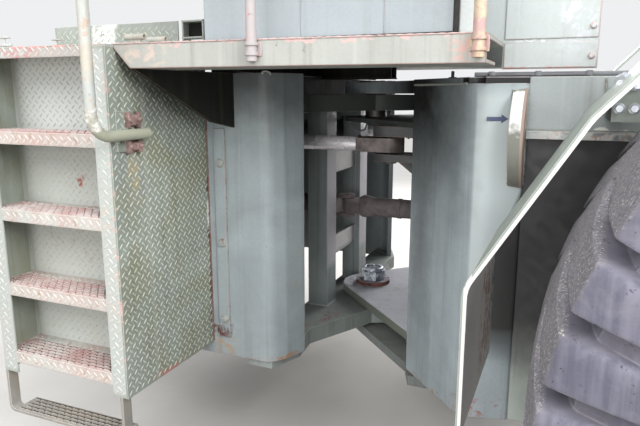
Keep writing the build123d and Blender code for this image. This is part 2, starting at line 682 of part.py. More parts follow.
def fender_stays():
    """Right fender's two stays on the side beam, cut to the sheet's underside."""
    line = FilletPolyline(*FENDER_XZ, radius=FENDER_BENDS)
    start, end = FENDER_XZ[0], FENDER_XZ[-1]
    over = end[1] + STAY_ROOM
    back = start[0] - STAY_ROOM
    above = line + Polyline(end, (end[0], over), (back, over), (back, start[1]), start)
    room = Rot(90, 0, 0) * extrude(make_face(above), WHEEL_Y)
    root = TOP_Z[1] - STAY_DEPTH
    low = block(LOW_STAY_X, (STAY_Y, -BEAM_Y), (root, FENDER_XZ[3][1])) - room
    inner = FENDER_Y[1] - STAY_W
    high = block(HIGH_STAY_X, (inner, FENDER_Y[1] - STAY_IN), (root, FENDER_XZ[4][1])) - room
    foot = block(HIGH_STAY_X, (inner, -BEAM_Y), (root, TOP_Z[1]))
    return low, high + foot


def axle():
    tube = along_y(AXLE_X, (-AXLE_FACE_Y, AXLE_FACE_Y), TYRE_R, AXLE_TUBE_R)
    tube += along_y(AXLE_X, (-AXLE_BULGE_HALF, AXLE_BULGE_HALF), TYRE_R, AXLE_BULGE_R)
    for side in (-1, 1):
        out = side * (WHEEL_Y + SPINDLE_OUT)
        tube += along_y(AXLE_X, (side * AXLE_FACE_Y, out), TYRE_R, SPINDLE_R)
        y = side * BEAM_Y
        tube += block((AXLE_X - PAD_HALF, AXLE_X + PAD_HALF), (y + side * PAD_Y[0], y + side * PAD_Y[1]),
                      (TYRE_R, TYRE_R + AXLE_TUBE_R + PAD_T))
    return tube


def revolved(points, y):
    """A ring turned about the axle's line from points of radius and width."""
    face = make_face(Polyline(*[(r, w, 0) for r, w in points], close=True))
    ring = revolve(face, Axis.Y, 360)
    return Pos(AXLE_X, y, TYRE_R) * ring


def tyre_profile():
    """Half section of the tyre in radius and width, from the bead out to the crown."""
    height = TYRE_R - BEAD_R
    return [(BEAD_R, RIM_HALF), (BEAD_R + SHOULDER_SHARE * height, TYRE_HALF),
            (BEAD_R + FLEX_SHARE * height, TYRE_HALF - 6), (TYRE_R - CROWN_DROP, TREAD_HALF),
            (TYRE_R, CROWN_SHARE * TREAD_HALF)]


def hollow_profile():
    """Half section of the tyre's air space, from inside the bore out to under the tread."""
    height = TYRE_R - BEAD_R
    return [(BEAD_R - HOLLOW_REACH, RIM_HALF - BEAD_W),
            (BEAD_R + SHOULDER_SHARE * height, TYRE_HALF - TYRE_WALL),
            (TYRE_R - TREAD_T, TREAD_HALF - TREAD_T)]


def faceted_ring(half, count):
    """A ring of flat facets about the Y axis, from half a section of radius and width.

    A corner of the ring stands on the ground, and its bore clears the rim all round.
    """
    section = half + [(r, -w) for r, w in reversed(half)]
    step = 2 * math.pi / count
    flat = math.cos(step / 2)
    faces = []
    for i in range(count):
        turns = (i * step - math.pi / 2, (i + 1) * step - math.pi / 2)
        for (r0, w0), (r1, w1) in zip(section, section[1:] + section[:1]):
            r0, r1 = [r / flat if r == BEAD_R else r for r in (r0, r1)]
            corners = [(r0 * math.cos(turns[0]), w0, r0 * math.sin(turns[0])),
                       (r1 * math.cos(turns[0]), w1, r1 * math.sin(turns[0])),
                       (r1 * math.cos(turns[1]), w1, r1 * math.sin(turns[1])),
                       (r0 * math.cos(turns[1]), w0, r0 * math.sin(turns[1]))]
            faces.append(make_face(Polyline(*corners, close=True)).face())
    return Solid(Shell(faces))


def groove():
    """The gap between two lugs at the top of the tyre: it deepens and widens towards the shoulder."""
    start, end = GROOVE_W
    shift, half, narrow = GROOVE_SHIFT, GROOVE_HALF, GROOVE_HALF / 2
    outline = [(shift - narrow, start), (shift + narrow, start), (half, end), (-half, end)]
    prism = extrude(make_face(Polyline(*[(x, y, 0) for x, y in outline], close=True)), TYRE_R + 1)
    rise = GROOVE_DEPTH * (end - start) / (TREAD_HALF - start)
    wedge = make_face(Polyline((0, start, TYRE_R), (0, end, TYRE_R - rise), (0, end, TYRE_R + 1),
                               (0, start, TYRE_R + 1), close=True))
    return prism & extrude(wedge, GROOVE_SHIFT + GROOVE_HALF, both=True)


def tyre():
    """Tyre with one facet per lug, and slanted grooves cut between the lugs of both shoulders."""
    ring = faceted_ring(tyre_profile(), LUGS) - faceted_ring(hollow_profile(), HOLLOW_FACETS)
    cut = groove()
    inner_cut = mirror(cut, about=Plane.XZ)
    step = 360 / LUGS
    cuts = []
    for i in range(LUGS):
        cuts += [Rot(0, (i + 0.5) * step, 0) * cut, Rot(0, i * step, 0) * inner_cut]
    lugged = ring - cuts
    return Pos(AXLE_X, -WHEEL_Y, TYRE_R) * lugged


def rim():
    flange = BEAD_R - SEAT_GAP
    bore = flange - RIM_WALL
    wall = [(flange, -RIM_HALF), (flange, RIM_HALF), (bore, RIM_HALF), (bore, -RIM_HALF)]
    ring = revolved(wall, -WHEEL_Y)
    disc_y = -WHEEL_Y - DISC_OFFSET
    ring += along_y(AXLE_X, (disc_y - DISC_T, disc_y), TYRE_R, bore + 1)
    ring += along_y(AXLE_X, (-WHEEL_Y - HUB_OUT, -AXLE_FACE_Y - HUB_GAP), TYRE_R, HUB_R)
    spindle_end = -WHEEL_Y - SPINDLE_OUT - SPINDLE_GAP
    ring -= along_y(AXLE_X, (spindle_end, -AXLE_FACE_Y), TYRE_R, SPINDLE_R + RUNNING_GAP)
    return ring


def build_nodes():
    """Every piece by name, in machine axes."""
    nodes = {}
    right_side = rear_side_plate()
    left_side = left_side_plate()
    nodes["rear_side_plate_right"] = right_side
    nodes["rear_side_plate_left"] = left_side
    nodes["rear_flange"] = rear_flange()
    nodes["rear_cross_wall"] = cross_wall()
    nodes["rear_top_plate"] = rear_top_plate()
    nodes["rear_hitch_plate_lower"] = rear_hitch_plate(REAR_LOW_Z, (right_side, left_side))
    nodes["rear_hitch_plate_upper"] = rear_hitch_plate(REAR_UP_Z, (right_side, left_side))
    nodes["hitch_lattice"] = hitch_lattice()
    nodes["ladder_box"] = ladder_box()
    nodes["ladder_landing"] = ladder_landing()
    nodes["ladder_treads"] = ladder_treads()
    nodes["ladder_stirrup"] = ladder_stirrup()
    nodes["grab_rail"] = grab_rail()
    nodes["grab_rail_bracket"] = rail_bracket()
    nodes["column_edge_strip"] = edge_strip()
    nodes["deck"] = deck()
    nodes["deck_gusset"] = gusset()
    nodes["deck_beam"] = deck_beam()
    for name, wall in zip(("right", "left", "front", "rear"), cab_walls()):
        nodes["cab_wall_" + name] = wall
    nodes["cab_wing_plate"] = wing_plate()
    nodes["rail_posts"] = rail_posts()
    nodes["cylinder_anchors"] = group(cylinder_anchor(), other_side(cylinder_anchor()))
    nodes["rear_shaft"] = rear_shaft()
    nodes["middle_shaft"] = driveshaft()
    nodes["cylinder_barrel_right"] = barrel()
    nodes["cylinder_barrel_left"] = other_side(barrel())
    nodes["cylinder_rod_right"] = rod()
    nodes["cylinder_rod_left"] = other_side(rod())
    nodes["front_box_right"] = front_box()
    nodes["front_box_left"] = other_side(front_box())
    nodes["front_top_plate"] = top_plate()
    for name, z in (("upper_tongue", UPPER_TONGUE_Z), ("lower_tongue", TONGUE_Z), ("lower_fork", FORK_Z)):
        nodes["front_" + name] = pinned(front_hitch_plate(z, BOX_INNER_Y, FRONT_WALL_X), z)
    nodes["front_wall"] = front_wall()
    nodes["front_beams"] = group(front_beam(), other_side(front_beam()))
    nodes["front_end_plate"] = front_end_plate()
    nodes["front_shaft"] = front_shaft()
    nodes["steering_clevises"] = group(steering_clevis(), other_side(steering_clevis()))
    nodes["hitch_pin_lower"] = hitch_pin_lower()
    nodes["hitch_pin_upper"] = hitch_pin_upper()
    nodes["lift_eyes"] = group(lift_eye(), other_side(lift_eye()))
    nodes["fender_right"] = fender()
    nodes["fender_left"] = other_side(fender())
    stays = fender_stays()
    nodes["fender_stays"] = group(*stays, *[other_side(stay) for stay in stays])
    nodes["front_axle"] = axle()
    nodes["tyre_right"] = tyre()
    nodes["tyre_left"] = other_side(nodes["tyre_right"])
    nodes["rim_right"] = rim()
    nodes["rim_left"] = other_side(rim())
    return nodes


def main():
    os.makedirs("parts", exist_ok=True)
    shift = Pos(-ORIGIN[0], -ORIGIN[1], -ORIGIN[2])
    for name, shape in build_nodes().items():
        export_step(shift * shape, f"parts/{name}.step")


main()
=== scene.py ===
import math
import random

import bmesh
import bpy
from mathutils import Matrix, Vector


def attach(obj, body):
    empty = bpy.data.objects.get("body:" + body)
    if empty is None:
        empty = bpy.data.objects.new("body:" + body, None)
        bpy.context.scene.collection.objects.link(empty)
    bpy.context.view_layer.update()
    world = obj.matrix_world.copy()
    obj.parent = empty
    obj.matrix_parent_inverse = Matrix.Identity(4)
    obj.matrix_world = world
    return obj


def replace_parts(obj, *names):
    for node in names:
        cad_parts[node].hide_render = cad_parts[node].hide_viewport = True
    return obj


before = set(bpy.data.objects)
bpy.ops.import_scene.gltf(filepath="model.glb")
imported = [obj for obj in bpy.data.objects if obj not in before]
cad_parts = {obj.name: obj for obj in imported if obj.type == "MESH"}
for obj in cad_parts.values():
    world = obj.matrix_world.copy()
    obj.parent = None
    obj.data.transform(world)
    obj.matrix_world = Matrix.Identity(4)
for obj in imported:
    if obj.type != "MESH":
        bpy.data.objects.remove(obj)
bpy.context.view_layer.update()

# Dimensions below are in machine millimetres: X forward, Y to the left, Z up from the ground,
# with the articulation axis at X = 0, Y = 0. P() turns them into the frame's metres.
REAR, FRONT = "rear_frame", "front_frame"
SIDES = {"right": -1, "left": 1}
DRAW = random.Random(11)


def P(x, y, z):
    return Vector(((x + 1250) / 1000, y / 1000, (z - 980) / 1000))


def linear(colour):
    """Linear values of an sRGB tuple of 0 to 255; anything else is returned as it is."""
    if not isinstance(colour, tuple):
        return colour
    line = [c / 255 for c in colour]
    return [c / 12.92 if c <= 0.04045 else ((c + 0.055) / 1.055) ** 2.4 for c in line] + [1]


def shade(colour, factor):
    return [c * factor for c in linear(colour)[:3]] + [1]


# Materials

RUST = (112, 66, 54)
RUST_DARK = (64, 42, 38)
PRIMER = (200, 150, 144)
BARE = (226, 224, 218)
DIRT = (88, 84, 66)
DUST = (192, 190, 178)
OCHRE = (166, 142, 114)
M = {}  # the finished materials by their keys


class Graph:
    """A node tree, built by short calls that return output sockets."""

    def __init__(self, tree):
        self.tree = tree
        tree.nodes.clear()

    def add(self, kind, values=None, **settings):
        node = self.tree.nodes.new(kind)
        for key, value in settings.items():
            setattr(node, key, value)
        self.fill(node, values or {})
        return node

    def fill(self, node, values):
        """Links or sets a node's inputs. None leaves an input as it is."""
        for key, value in values.items():
            if isinstance(value, bpy.types.NodeSocket):
                self.tree.links.new(value, node.inputs[key])
            elif value is not None:
                node.inputs[key].default_value = value

    def math(self, operation, a, b=0.0):
        return self.add("ShaderNodeMath", {0: a, 1: b}, operation=operation).outputs[0]

    def times(self, a, b):
        return self.math("MULTIPLY", a, b)

    def vector(self, operation, a, b=None, output=0):
        return self.add("ShaderNodeVectorMath", {0: a, 1: b}, operation=operation).outputs[output]

    def split(self, vector):
        return self.add("ShaderNodeSeparateXYZ", {0: vector}).outputs

    def seen(self):
        """1 where the camera looks, also by a mirror or through glass, and 0 for other light."""
        rays = self.add("ShaderNodeLightPath").outputs
        straight = self.math("MAXIMUM", rays["Is Camera Ray"], rays["Is Glossy Ray"])
        return self.math("MAXIMUM", straight, rays["Is Transmission Ray"])


class Shader(Graph):
    """One material's nodes. Its places are the object's own metres."""

    def __init__(self, name):
        self.mat = bpy.data.materials.new(name)
        self.mat.use_nodes = True
        super().__init__(self.mat.node_tree)
        self.bsdf = self.add("ShaderNodeBsdfPrincipled")
        self.add("ShaderNodeOutputMaterial", {0: self.bsdf.outputs[0]})
        place = self.add("ShaderNodeTexCoord")
        self.coord, self.facing = place.outputs["Object"], place.outputs["Normal"]
        self.count = 0

    def axis(self, index):
        return self.split(self.coord)[index]

    def mix(self, share, a, b):
        return self.add("ShaderNodeMix", {"Factor": share, 6: linear(a), 7: linear(b)}, data_type="RGBA").outputs[2]

    def band(self, value, low, high, to_low=0.0, to_high=1.0):
        """Maps low..high to to_low..to_high, held at both ends."""
        values = {"Value": value, "From Min": low, "From Max": high, "To Min": to_low, "To Max": to_high}
        return self.add("ShaderNodeMapRange", values, clamp=True).outputs[0]

    def noise(self, scale, detail=3.0, stretch=(1, 1, 1), distortion=0.0, roughness=0.55):
        """Each call reads another part of the noise."""
        self.count += 1
        scaled = self.vector("MULTIPLY", self.coord, [s * scale for s in stretch])
        shift = (3.7 * self.count, 1.3 * self.count, 7.1 * self.count)
        values = {"Vector": self.vector("ADD", scaled, shift), "Scale": 1, "Detail": detail,
                  "Distortion": distortion, "Roughness": roughness}
        return self.add("ShaderNodeTexNoise", values).outputs[0]

    def cloud(self, scale, detail, low, high, to_low=0.0, to_high=1.0, **look):
        """Noise whose low..high becomes to_low..to_high."""
        return self.band(self.noise(scale, detail, **look), low, high, to_low, to_high)

    def patches(self, scale, share, soft=0.05, detail=6, distortion=0.8, stretch=(1, 1, 1)):
        """A mask of ragged patches that cover about the given share of the surface."""
        edge = 0.66 - 0.32 * share
        cloud = self.noise(scale, detail, stretch, distortion, 0.65)
        return self.band(cloud, edge - soft / 2, edge + soft / 2)

    def zone(self, low, high, soft=0.35, ragged=0.0):
        """1 inside a box given by two corners in machine millimetres, fading to 0 at its faces."""
        a, b = P(*low), P(*high)
        centre = (a + b) / 2
        half = [max(abs(c) / 2, 0.001) for c in (b - a)]
        away = self.vector("SUBTRACT", self.coord, tuple(centre))
        if ragged:
            away = self.vector("ADD", away, self.band(self.noise(22, 5), 0.3, 0.7, -ragged, ragged))
        share = self.split(self.vector("ABSOLUTE", self.vector("MULTIPLY", away, tuple(1 / h for h in half))))
        top = self.math("MAXIMUM", self.math("MAXIMUM", share[0], share[1]), share[2])
        return self.band(top, 1 - soft, 1, 1, 0)

    def edges(self, radius, low=0.985, high=0.86):
        """The rounded normal of the edges, and a mask of 1 on them."""
        bevel = self.add("ShaderNodeBevel", {"Radius": radius}, samples=6)
        flat = self.add("ShaderNodeNewGeometry").outputs["Normal"]
        dot = self.vector("DOT_PRODUCT", bevel.outputs[0], flat, 1)
        return bevel.outputs[0], self.band(dot, low, high)

    def bump(self, height, strength, distance, normal=None):
        values = {"Strength": strength, "Distance": distance, "Height": height, "Normal": normal}
        return self.add("ShaderNodeBump", values).outputs[0]

    def finish(self, colour, rough, normal=None, metal=None, specular=0.5):
        self.fill(self.bsdf, {"Base Color": colour, "Roughness": rough, "Specular IOR Level": specular,
                              "Normal": normal, "Metallic": metal})
        return self.mat


def paint(key, base, rust=0.25, edge=0.6, edge_colour=PRIMER, streak=0.25, dust=0.3, rough=0.5,
          mottle=0.16, bevel=0.004, zones=(), specular=0.4, second=None, freckle=None):
    """Old painted steel: mottled, streaked, dusty on top, chipped at its edges and spotted with rust.

    second and freckle are a colour with its share, in wide and in small patches. A zone is a box, or a
    function that gives a mask, with its colour, the share of it that is covered and how soft it is.
    """
    s = Shader("paint_" + key)
    colour = s.mix(s.cloud(4.5, 5, 0.34, 0.66, distortion=0.4), shade(base, 1 - mottle),
                   shade(base, 1 + mottle * 0.7))
    if second is not None:
        colour = s.mix(s.patches(5.0, second[1], 0.26, 5), colour, second[0])
    colour = s.mix(s.cloud(120, 3, 0.35, 0.7, 0, 0.22), colour, shade(base, 0.72))
    run = s.cloud(1.0, 5, 0.52, 0.74, 0, streak, stretch=(34, 34, 1.3), distortion=0.3)
    colour = s.mix(run, colour, DIRT)
    pale_run = s.cloud(1.0, 4, 0.56, 0.78, 0, streak * 0.8, stretch=(52, 52, 1.8))
    colour = s.mix(pale_run, colour, shade(base, 1.35))
    up = s.split(s.facing)[2]
    settled = s.times(s.band(up, 0.5, 0.95), s.cloud(9, 4, 0.3, 0.65, 0.35, 1))
    colour = s.mix(s.times(settled, dust), colour, DUST)
    if freckle is not None:
        colour = s.mix(s.times(s.patches(38, freckle[1], 0.08), 0.75), colour, freckle[0])
    round_normal, rim = s.edges(bevel)
    worn = s.times(rim, s.patches(42, 0.25 + 0.75 * edge, 0.07))
    colour = s.mix(s.times(worn, min(1.0, edge * 1.3)), colour, edge_colour)
    rust_tone = s.mix(s.cloud(75, 4, 0.3, 0.7), RUST_DARK, RUST)
    for low, high, tone, amount, soft in zones:
        cover = low(s) if callable(low) else s.zone(low, high, soft, 0.014 if soft >= 0.2 else 0.0)
        if amount < 1:
            cover = s.times(cover, s.patches(26, amount * 1.5 - 0.3, 0.10))
        colour = s.mix(cover, colour, rust_tone if tone == "rust" else tone)
    field = s.cloud(3.1, 3, 0.42, 0.66)
    spots = s.cloud(26, 9, 0.70 - 0.10 * rust, 0.74 - 0.10 * rust, distortion=1.1, roughness=0.7)
    spots = s.times(spots, field)
    rusting = s.times(spots, min(1.0, 0.5 + rust))
    colour = s.mix(rusting, colour, rust_tone)
    roughness = s.cloud(38, 3, 0.3, 0.7, rough - 0.09, rough + 0.12)
    roughness = s.math("MAXIMUM", roughness, s.times(rusting, 0.88))
    grain = s.bump(s.noise(420, 2), 0.10, 0.0006, round_normal)
    pits = s.bump(spots, 0.5, 0.0012, grain)
    dents = s.bump(s.noise(5.5, 2), 0.16, 0.02, pits)
    M[key] = s.finish(colour, roughness, dents, specular=specular)


def rusty(name, base, pale=0.3, grain=60, pale_colour=(182, 160, 150)):
    """Bare rusty steel with paler patches."""
    s = Shader(name)
    colour = s.mix(s.cloud(12, 6, 0.3, 0.7, distortion=0.7), shade(base, 0.45), shade(base, 1.25))
    colour = s.mix(s.cloud(grain, 7, 0.5, 0.72, 0, pale, roughness=0.7), colour, pale_colour)
    normal, rim = s.edges(0.003)
    colour = s.mix(s.times(rim, 0.4), colour, (190, 168, 158))
    height = s.noise(170, 7, roughness=0.7)
    return s.finish(colour, s.cloud(30, 3, 0.3, 0.7, 0.62, 0.92), s.bump(height, 0.55, 0.002, normal),
                    specular=0.3)


def bright_metal(name, base, rough, stain):
    """Bare or plated metal with fine scratches along X and small stains."""
    s = Shader(name)
    wipe = s.noise(1.0, 4, stretch=(3, 90, 90))
    colour = s.mix(s.band(wipe, 0.35, 0.7, 0, 0.35), base, shade(base, 0.72))
    colour = s.mix(s.cloud(40, 6, 0.6, 0.72, 0, stain, roughness=0.7), colour, (112, 92, 82))
    roughness = s.cloud(26, 4, 0.3, 0.7, rough * 0.7, rough * 1.5)
    return s.finish(colour, roughness, s.bump(s.noise(260, 3), 0.12, 0.0006), 0.9)


def rod_steel(name):
    """A chromed rod whose eye, ahead of ROD_HEAD_X, is dull brown-grey cast steel."""
    s = Shader(name)
    wipe = s.noise(1.0, 3, stretch=(2, 60, 60))
    chrome = s.mix(s.band(wipe, 0.35, 0.7, 0, 0.2), (252, 248, 252), (216, 204, 216))
    cast = s.band(s.axis(0), P(ROD_HEAD_X - 1, 0, 0).x, P(ROD_HEAD_X + 1, 0, 0).x)
    tone = s.mix(s.cloud(17, 6, 0.35, 0.68), (64, 57, 57), (128, 118, 116))
    colour = s.mix(cast, chrome, tone)
    roughness = s.math("MAXIMUM", s.cloud(26, 4, 0.3, 0.7, 0.16, 0.34), s.times(cast, 0.55))
    metal = s.math("SUBTRACT", 0.45, s.times(cast, 0.2))
    rugged = s.bump(s.times(s.noise(60, 5), cast), 0.4, 0.003)
    return s.finish(colour, roughness, rugged, metal)


def pin_and_nut(name):
    """The lower hitch pin: a rusty ring under a greasy, shiny nut."""
    s = Shader(name)
    nut = s.band(s.axis(2), P(0, 0, NUT_Z - 1).z, P(0, 0, NUT_Z + 1).z)
    ring = s.mix(s.cloud(30, 6, 0.35, 0.65), (70, 46, 42), (132, 84, 74))
    zinc = s.mix(s.cloud(45, 5, 0.42, 0.6, distortion=1.0), (132, 140, 152), (224, 230, 238))
    colour = s.mix(nut, ring, zinc)
    normal, rim = s.edges(0.004)
    colour = s.mix(s.times(rim, 0.35), colour, (214, 214, 220))
    roughness = s.math("SUBTRACT", 0.85, s.times(nut, 0.45))
    return s.finish(colour, roughness, s.bump(s.noise(120, 6), 0.3, 0.002, normal),
                    s.times(nut, 0.75))


def rubber(name):
    """Dusty, scuffed tyre rubber: pale on the crown, dark and bluish on the faces of the lugs."""
    s = Shader(name)
    # metres from the axle's line, and from the wheel's middle plane
    away = s.split(s.vector("SUBTRACT", s.coord, tuple(P(AXLE_X, 0, AXLE_Z))))
    radius = s.math("SQRT", s.math("ADD", s.math("POWER", away[0], 2.0), s.math("POWER", away[2], 2.0)))
    width = s.math("ABSOLUTE", s.math("SUBTRACT", s.math("ABSOLUTE", away[1]), WHEEL_Y / 1000))
    base = s.mix(s.cloud(7, 5, 0.35, 0.66, distortion=0.4), (88, 86, 94), (112, 110, 122))
    scuff = s.noise(160, 6, roughness=0.78)
    shore = s.math("ADD", radius, s.times(width, 0.065))
    crown = s.times(s.band(shore, 0.868, 0.878), s.band(width, 0.276, 0.270))
    dusty = s.mix(s.band(scuff, 0.40, 0.60), (98, 96, 101), (142, 139, 143))
    colour = s.mix(s.times(crown, s.cloud(5, 4, 0.3, 0.6, 0.65, 0.95)), base, dusty)
    fleck = s.times(s.patches(240, 0.16, 0.04, 4, 0.2), crown)
    colour = s.mix(s.times(fleck, 0.6), colour, (232, 226, 214))
    end_face = s.times(s.band(width, 0.272, 0.278), s.band(radius, 0.70, 0.76))
    bands = s.noise(1.0, 3, stretch=(46, 46, 3))
    slate = s.mix(s.band(bands, 0.4, 0.62), (84, 85, 100), (118, 117, 130))
    colour = s.mix(s.times(end_face, 0.75), colour, slate)
    wipe = s.patches(11, 0.22, 0.2, 6, 1.2)
    colour = s.mix(s.times(wipe, 0.32), colour, (152, 147, 154))
    normal, rim = s.edges(0.007, 0.99, 0.88)
    colour = s.mix(s.times(rim, s.cloud(30, 5, 0.35, 0.6, 0.1, 0.5)), colour, (166, 163, 168))
    side = s.band(radius, 0.50, 0.72, 0.7, 0.0)
    colour = s.mix(s.times(side, s.cloud(5, 4, 0.4, 0.7, 0.2, 0.6)), colour, (128, 122, 116))
    nick = s.patches(75, -0.02, 0.03, 5, 0.6)
    colour = s.mix(s.times(nick, 0.7), colour, (52, 50, 56))
    pitted = s.bump(nick, -0.5, 0.003, s.bump(scuff, 0.4, 0.0018, normal))
    soft_dents = s.bump(s.noise(16, 3), 0.2, 0.006, pitted)
    return s.finish(colour, s.band(scuff, 0.3, 0.7, 0.58, 0.84), soft_dents, specular=0.32)


AXLE_X, AXLE_Z, WHEEL_Y, TYRE_R = 1713.0, 882.0, 1595.0, 882.0
ROD_HEAD_X = 60.0  # where the chrome ends
NUT_Z = 545.0  # foot of the nut on the lower pin
FENDER_EDGE = 1.510  # the fender sheet's free edge, in metres from the middle
# Corners of the fender's inner face over the wheel, by their turn and their distance from the tyre
FENDER = [(AXLE_X + (TYRE_R + clear) * math.cos(math.radians(angle)),
           AXLE_Z + (TYRE_R + clear) * math.sin(math.radians(angle)))
          for angle, clear in ((190.38, 156.0), (170.93, 152.0), (146.68, 75.4), (117.8, 117.3), (96.43, 127.3),
                               (79.44, 138.3))]


def fender_rim(s):
    """1 on the sheet's free edge, on the part of its thickness that is nearest the wheel."""
    away = None
    for (x0, z0), (x1, z1) in zip(FENDER, FENDER[1:]):
        long = math.hypot(x1 - x0, z1 - z0)
        moved = s.vector("SUBTRACT", s.coord, tuple(P(x0, 0, z0)))
        out = s.vector("DOT_PRODUCT", moved, (-(z1 - z0) / long, 0, (x1 - x0) / long), 1)
        away = out if away is None else s.math("MAXIMUM", away, out)
    free = s.band(s.math("ABSOLUTE", s.axis(1)), FENDER_EDGE - 0.002, FENDER_EDGE)
    return s.times(s.band(away, 0.0070, 0.0080, 1, 0), free)


def fender_shadow(s):
    """1 on the front box's outer face from the fender's slanting sheet down, where the fender's painted shadow
    falls.
    """
    edge = s.math("ADD", s.math("MAXIMUM", s.times(s.axis(2), 0.36), 0.0), P(670, 0, 0).x)
    ahead = s.band(s.math("SUBTRACT", s.axis(0), edge), 0.0, 0.015)
    return s.times(ahead, s.band(s.axis(2), P(0, 0, 630).z, P(0, 0, 740).z))


# Paints. A zone is two corners in machine millimetres, its colour, cover and softness.
paint("frame", (152, 161, 164), rust=0.2, streak=0.3, zones=(
    # painted shade: the frame darkened under the deck, most around the middle of this box and fading out towards its
    # faces
    ((-600, -4000, 1330), (100, 4000, 1730), (52, 55, 53), 1.0, 1.0),
    ((-420, -870, 505), (-300, -840, 560), "rust", 0.6, 0.5),
    ((-110, -820, 430), (-50, -690, 1200), (150, 150, 134), 0.3, 0.8),
    ((-400, -870, 425), (-290, -840, 515), OCHRE, 0.5, 0.6),
    ((-260, -860, 428), (-60, -560, 446), (160, 128, 100), 0.7, 0.4)))
# painted shade: a dark copy of the hitch paint for the upper hitch plate and the upper tongue, which lie in the
# deck's shade
paint("hitch_shaded", (76, 80, 78), rust=0.4, edge=0.7, edge_colour=(112, 114, 106), streak=0.35, dust=0.12,
      specular=0.2)
paint("hitch", (142, 149, 146), rust=0.4, edge=0.9, edge_colour=(176, 184, 172), streak=0.35, dust=0.12, zones=(
    ((-110, -480, 466), (-40, -330, 474), (150, 84, 82), 0.75, 0.6),
    ((-220, -640, 396), (-120, -520, 474), (166, 112, 104), 0.7, 0.5)))
paint("lattice", (144, 153, 153), rust=0.25, edge=0.8, edge_colour=(170, 176, 176), streak=0.5, zones=(
    # painted light: the posts' +X faces above z 640 and the strips' faces between the posts are painted paler where
    # they catch the light
    ((-138, -300, 640), (-130, 300, 1384), (190, 187, 193), 1.0, 0.1),
    ((-163, -175, 680), (-158, 175, 1205), (206, 202, 202), 1.0, 0.1)))
paint("tongue", (212, 213, 226), rust=0.1, edge=0.7, edge_colour=(150, 104, 92), dust=0.3, mottle=0.1, zones=(
    ((-150, -655, 480), (700, 655, 521), (110, 116, 106), 1.0, 0.05),
    ((-140, -150, 520), (20, 150, 530), (104, 104, 100), 0.6, 0.7)))
paint("fork", (122, 128, 126), rust=0.45, edge=0.8, edge_colour=RUST, dust=0.3)
paint("front", (156, 166, 170), rust=0.1, edge=0.5, streak=0.3, zones=(
    ((560, -980, 430), (760, -900, 500), (150, 104, 94), 0.45, 0.6),
    ((355, -700, 430), (620, -960, 446), (146, 128, 104), 0.5, 0.4),
    # painted light: the box's right face painted paler
    ((604, -980, 700), (752, -900, 1489), (190, 199, 200), 1.0, 0.12),
    # painted shadow of the fender on the box's outer face
    (fender_shadow, None, (62, 62, 62), 1.0, 0.0),
    # painted shade: the box's slanted rear face darkened near its back corner under the deck
    ((340, -660, 425), (480, -840, 1500), (112, 118, 121), 1.0, 1.0),
    # painted shade: the front frame's upper part under the deck's edge painted near black
    ((90, -2800, 1050), (640, 1200, 1950), (26, 27, 26), 1.0, 0.8),
    ((560, -980, 1487), (754, -880, 1503), (26, 26, 26), 1.0, 0.02),
    ((560, 880, 1487), (754, 980, 1503), (26, 26, 26), 1.0, 0.02)))
paint("side_sheet", (170, 178, 172), rust=0.25, edge=0.6, streak=0.4, zones=(
    # painted shade: the side sheets darkened above their lowest part, where the fender's shadow falls
    ((560, -1300, 560), (2100, -500, 2600), (64, 63, 64), 1.0, 0.2),
    ((560, 500, 560), (2100, 1300, 2600), (64, 63, 64), 1.0, 0.2)))
paint("eye", (132, 133, 124), rust=0.25, edge=1.0, edge_colour=(206, 160, 148), zones=(
    ((700, -1020, 1345), (752, -930, 1480), (238, 238, 234), 1.0, 0.25),
    ((740, -1020, 1180), (752, -920, 1480), (170, 148, 138), 1.0, 0.05)))
paint("beam", (166, 173, 173), rust=0.3, edge=1.0, edge_colour=BARE, zones=(
    ((760, -950, 1326), (1480, -905, 1356), BARE, 0.95, 0.3),
    ((760, -950, 1326), (1480, -944, 1356), (206, 160, 148), 0.5, 0.3)))
paint("tread", (150, 157, 149), rust=0.25, edge=0.75, edge_colour=(206, 212, 200), streak=0.4,
      second=((136, 139, 120), 0.4), bevel=0.0025, zones=(
    ((-410, -1290, 1100), (-380, -1235, 1275), (168, 156, 124), 0.6, 0.5),
    ((-410, -1330, 700), (-380, -1180, 1290), (150, 147, 124), 0.35, 0.7),
    ((-410, -1240, 474), (-380, -1040, 500), (178, 128, 118), 0.6, 0.6),
    ((-410, -862, 478), (-380, -845, 1400), "rust", 0.6, 0.5),
    ((-410, -868, 950), (-380, -845, 1060), BARE, 0.8, 0.3),
    # painted light: the recess wall behind the steps is painted paler than the sheet, and paler still near its top
    ((-955, -1215, 470), (-390, -1195, 1600), (188, 191, 186), 1.0, 0.1),
    ((-955, -1215, 1300), (-390, -1195, 1660), (208, 211, 208), 1.0, 0.15),
    # painted shade: the side panel's top near the gusset, in the deck's shadow
    ((-410, -1300, 1330), (-380, -640, 1800), (40, 42, 40), 1.0, 1.0),
    ((-700, -1215, 1135), (-665, -1195, 1178), (160, 100, 90), 0.7, 0.5),
    ((-900, -1215, 860), (-600, -1195, 990), OCHRE, 0.3, 0.6),
    ((-955, -1364, 470), (-886, -1350, 1600), (178, 183, 178), 1.0, 0.05),
    ((-459, -1364, 470), (-401, -1350, 1600), (178, 183, 178), 1.0, 0.05),
    ((-459, -1364, 700), (-401, -1350, 1250), (196, 180, 168), 0.4, 0.5),
    ((-412, -1366, 470), (-388, -1352, 1600), (196, 172, 164), 0.4, 0.3)))
